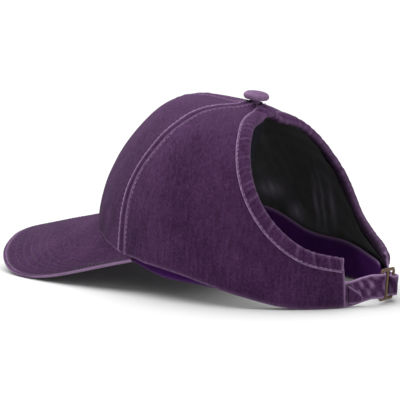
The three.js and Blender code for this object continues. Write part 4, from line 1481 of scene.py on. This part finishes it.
def aim_camera(camera, target):
    """Stands the camera off its target by its turn, height and distance, rolls it, and turns it
    so that the target lies where it does in the picture, a little right of its middle."""
    view = bpy.context.scene.cap_view
    turn, height = view.camera_turn, view.camera_height
    level = math.cos(height)
    toward = Vector((level * math.cos(turn), level * math.sin(turn), math.sin(height)))
    right = Vector((-math.sin(turn), math.cos(turn), 0))
    up = toward.cross(right)
    c, s = math.cos(view.camera_roll), math.sin(view.camera_roll)
    right, up = c * right + s * up, c * up - s * right
    picture = 400
    focal = view.pixels_per_metre * view.camera_distance
    target_across, target_up = 44.16, -6.29
    forward = (-toward * focal - right * target_across - up * target_up).normalized()
    right = forward.cross(up).normalized()
    up = right.cross(forward)
    camera.matrix_world = Matrix((
        (*right, 0), (*up, 0), (*(-forward), 0), (0, 0, 0, 1))).transposed()
    camera.location = target + toward * view.camera_distance
    camera.data.lens = focal / picture * camera.data.sensor_width
    camera.data.clip_start = 0.05
    camera.data.clip_end = 50


# The add-on

class CapStep:
    """What every step of the cap shares: it runs its function and reports that it is done."""

    bl_options = {"REGISTER", "UNDO"}

    def execute(self, context):
        type(self).build()
        return {"FINISHED"}


class CAP_OT_panels(CapStep, bpy.types.Operator):
    """Build the four panels of the crown and their stitches"""

    bl_idname = "cap.panels"
    bl_label = "Crown panels"
    build = staticmethod(build_panels)


class CAP_OT_binding(CapStep, bpy.types.Operator):
    """Build the binding of the ponytail opening"""

    bl_idname = "cap.binding"
    bl_label = "Opening binding"
    build = staticmethod(build_binding)


class CAP_OT_lining(CapStep, bpy.types.Operator):
    """Build the lining and its seam tapes"""

    bl_idname = "cap.lining"
    bl_label = "Lining and seam tapes"
    build = staticmethod(build_lining)


class CAP_OT_sweatband(CapStep, bpy.types.Operator):
    """Build the sweatband"""

    bl_idname = "cap.sweatband"
    bl_label = "Sweatband"
    build = staticmethod(build_sweatband)


class CAP_OT_peak(CapStep, bpy.types.Operator):
    """Build the peak and its rows of stitches"""

    bl_idname = "cap.peak"
    bl_label = "Peak"
    build = staticmethod(build_peak)


class CAP_OT_button(CapStep, bpy.types.Operator):
    """Build the covered button"""

    bl_idname = "cap.button"
    bl_label = "Button"
    build = staticmethod(build_button)


class CAP_OT_closure(CapStep, bpy.types.Operator):
    """Build the strap, its tab, the loop and the buckle"""

    bl_idname = "cap.closure"
    bl_label = "Strap and buckle"
    build = staticmethod(build_closure)


class CAP_OT_stage(CapStep, bpy.types.Operator):
    """Set the table, the light and the camera"""

    bl_idname = "cap.stage"
    bl_label = "Table, light and camera"
    build = staticmethod(build_stage)


STEPS = (
    CAP_OT_panels, CAP_OT_binding, CAP_OT_lining, CAP_OT_sweatband, CAP_OT_peak, CAP_OT_button,
    CAP_OT_closure, CAP_OT_stage)


class CAP_PT_sidebar(bpy.types.Panel):
    """The steps of the cap and its settings"""

    bl_label = "Ponytail cap"
    bl_idname = "CAP_PT_sidebar"
    bl_space_type = "VIEW_3D"
    bl_region_type = "UI"
    bl_category = "Cap"

    def draw(self, context):
        for step in STEPS:
            self.layout.operator(step.bl_idname)
        for settings in (context.scene.cap_sizes, context.scene.cap_colours, context.scene.cap_view):
            box = self.layout.box()
            for name in type(settings).__annotations__:
                box.prop(settings, name)


CLASSES = (CapSizes, CapColours, CapView, *STEPS, CAP_PT_sidebar)


def register():
    for made in CLASSES:
        bpy.utils.register_class(made)
    bpy.types.Scene.cap_sizes = bpy.props.PointerProperty(type=CapSizes)
    bpy.types.Scene.cap_colours = bpy.props.PointerProperty(type=CapColours)
    bpy.types.Scene.cap_view = bpy.props.PointerProperty(type=CapView)


def unregister():
    del bpy.types.Scene.cap_view
    del bpy.types.Scene.cap_colours
    del bpy.types.Scene.cap_sizes
    for made in reversed(CLASSES):
        bpy.utils.unregister_class(made)


def main():
    register()
    for step in STEPS:
        group, name = step.bl_idname.split(".")
        getattr(getattr(bpy.ops, group), name)()


if __name__ == "__main__":
    main()
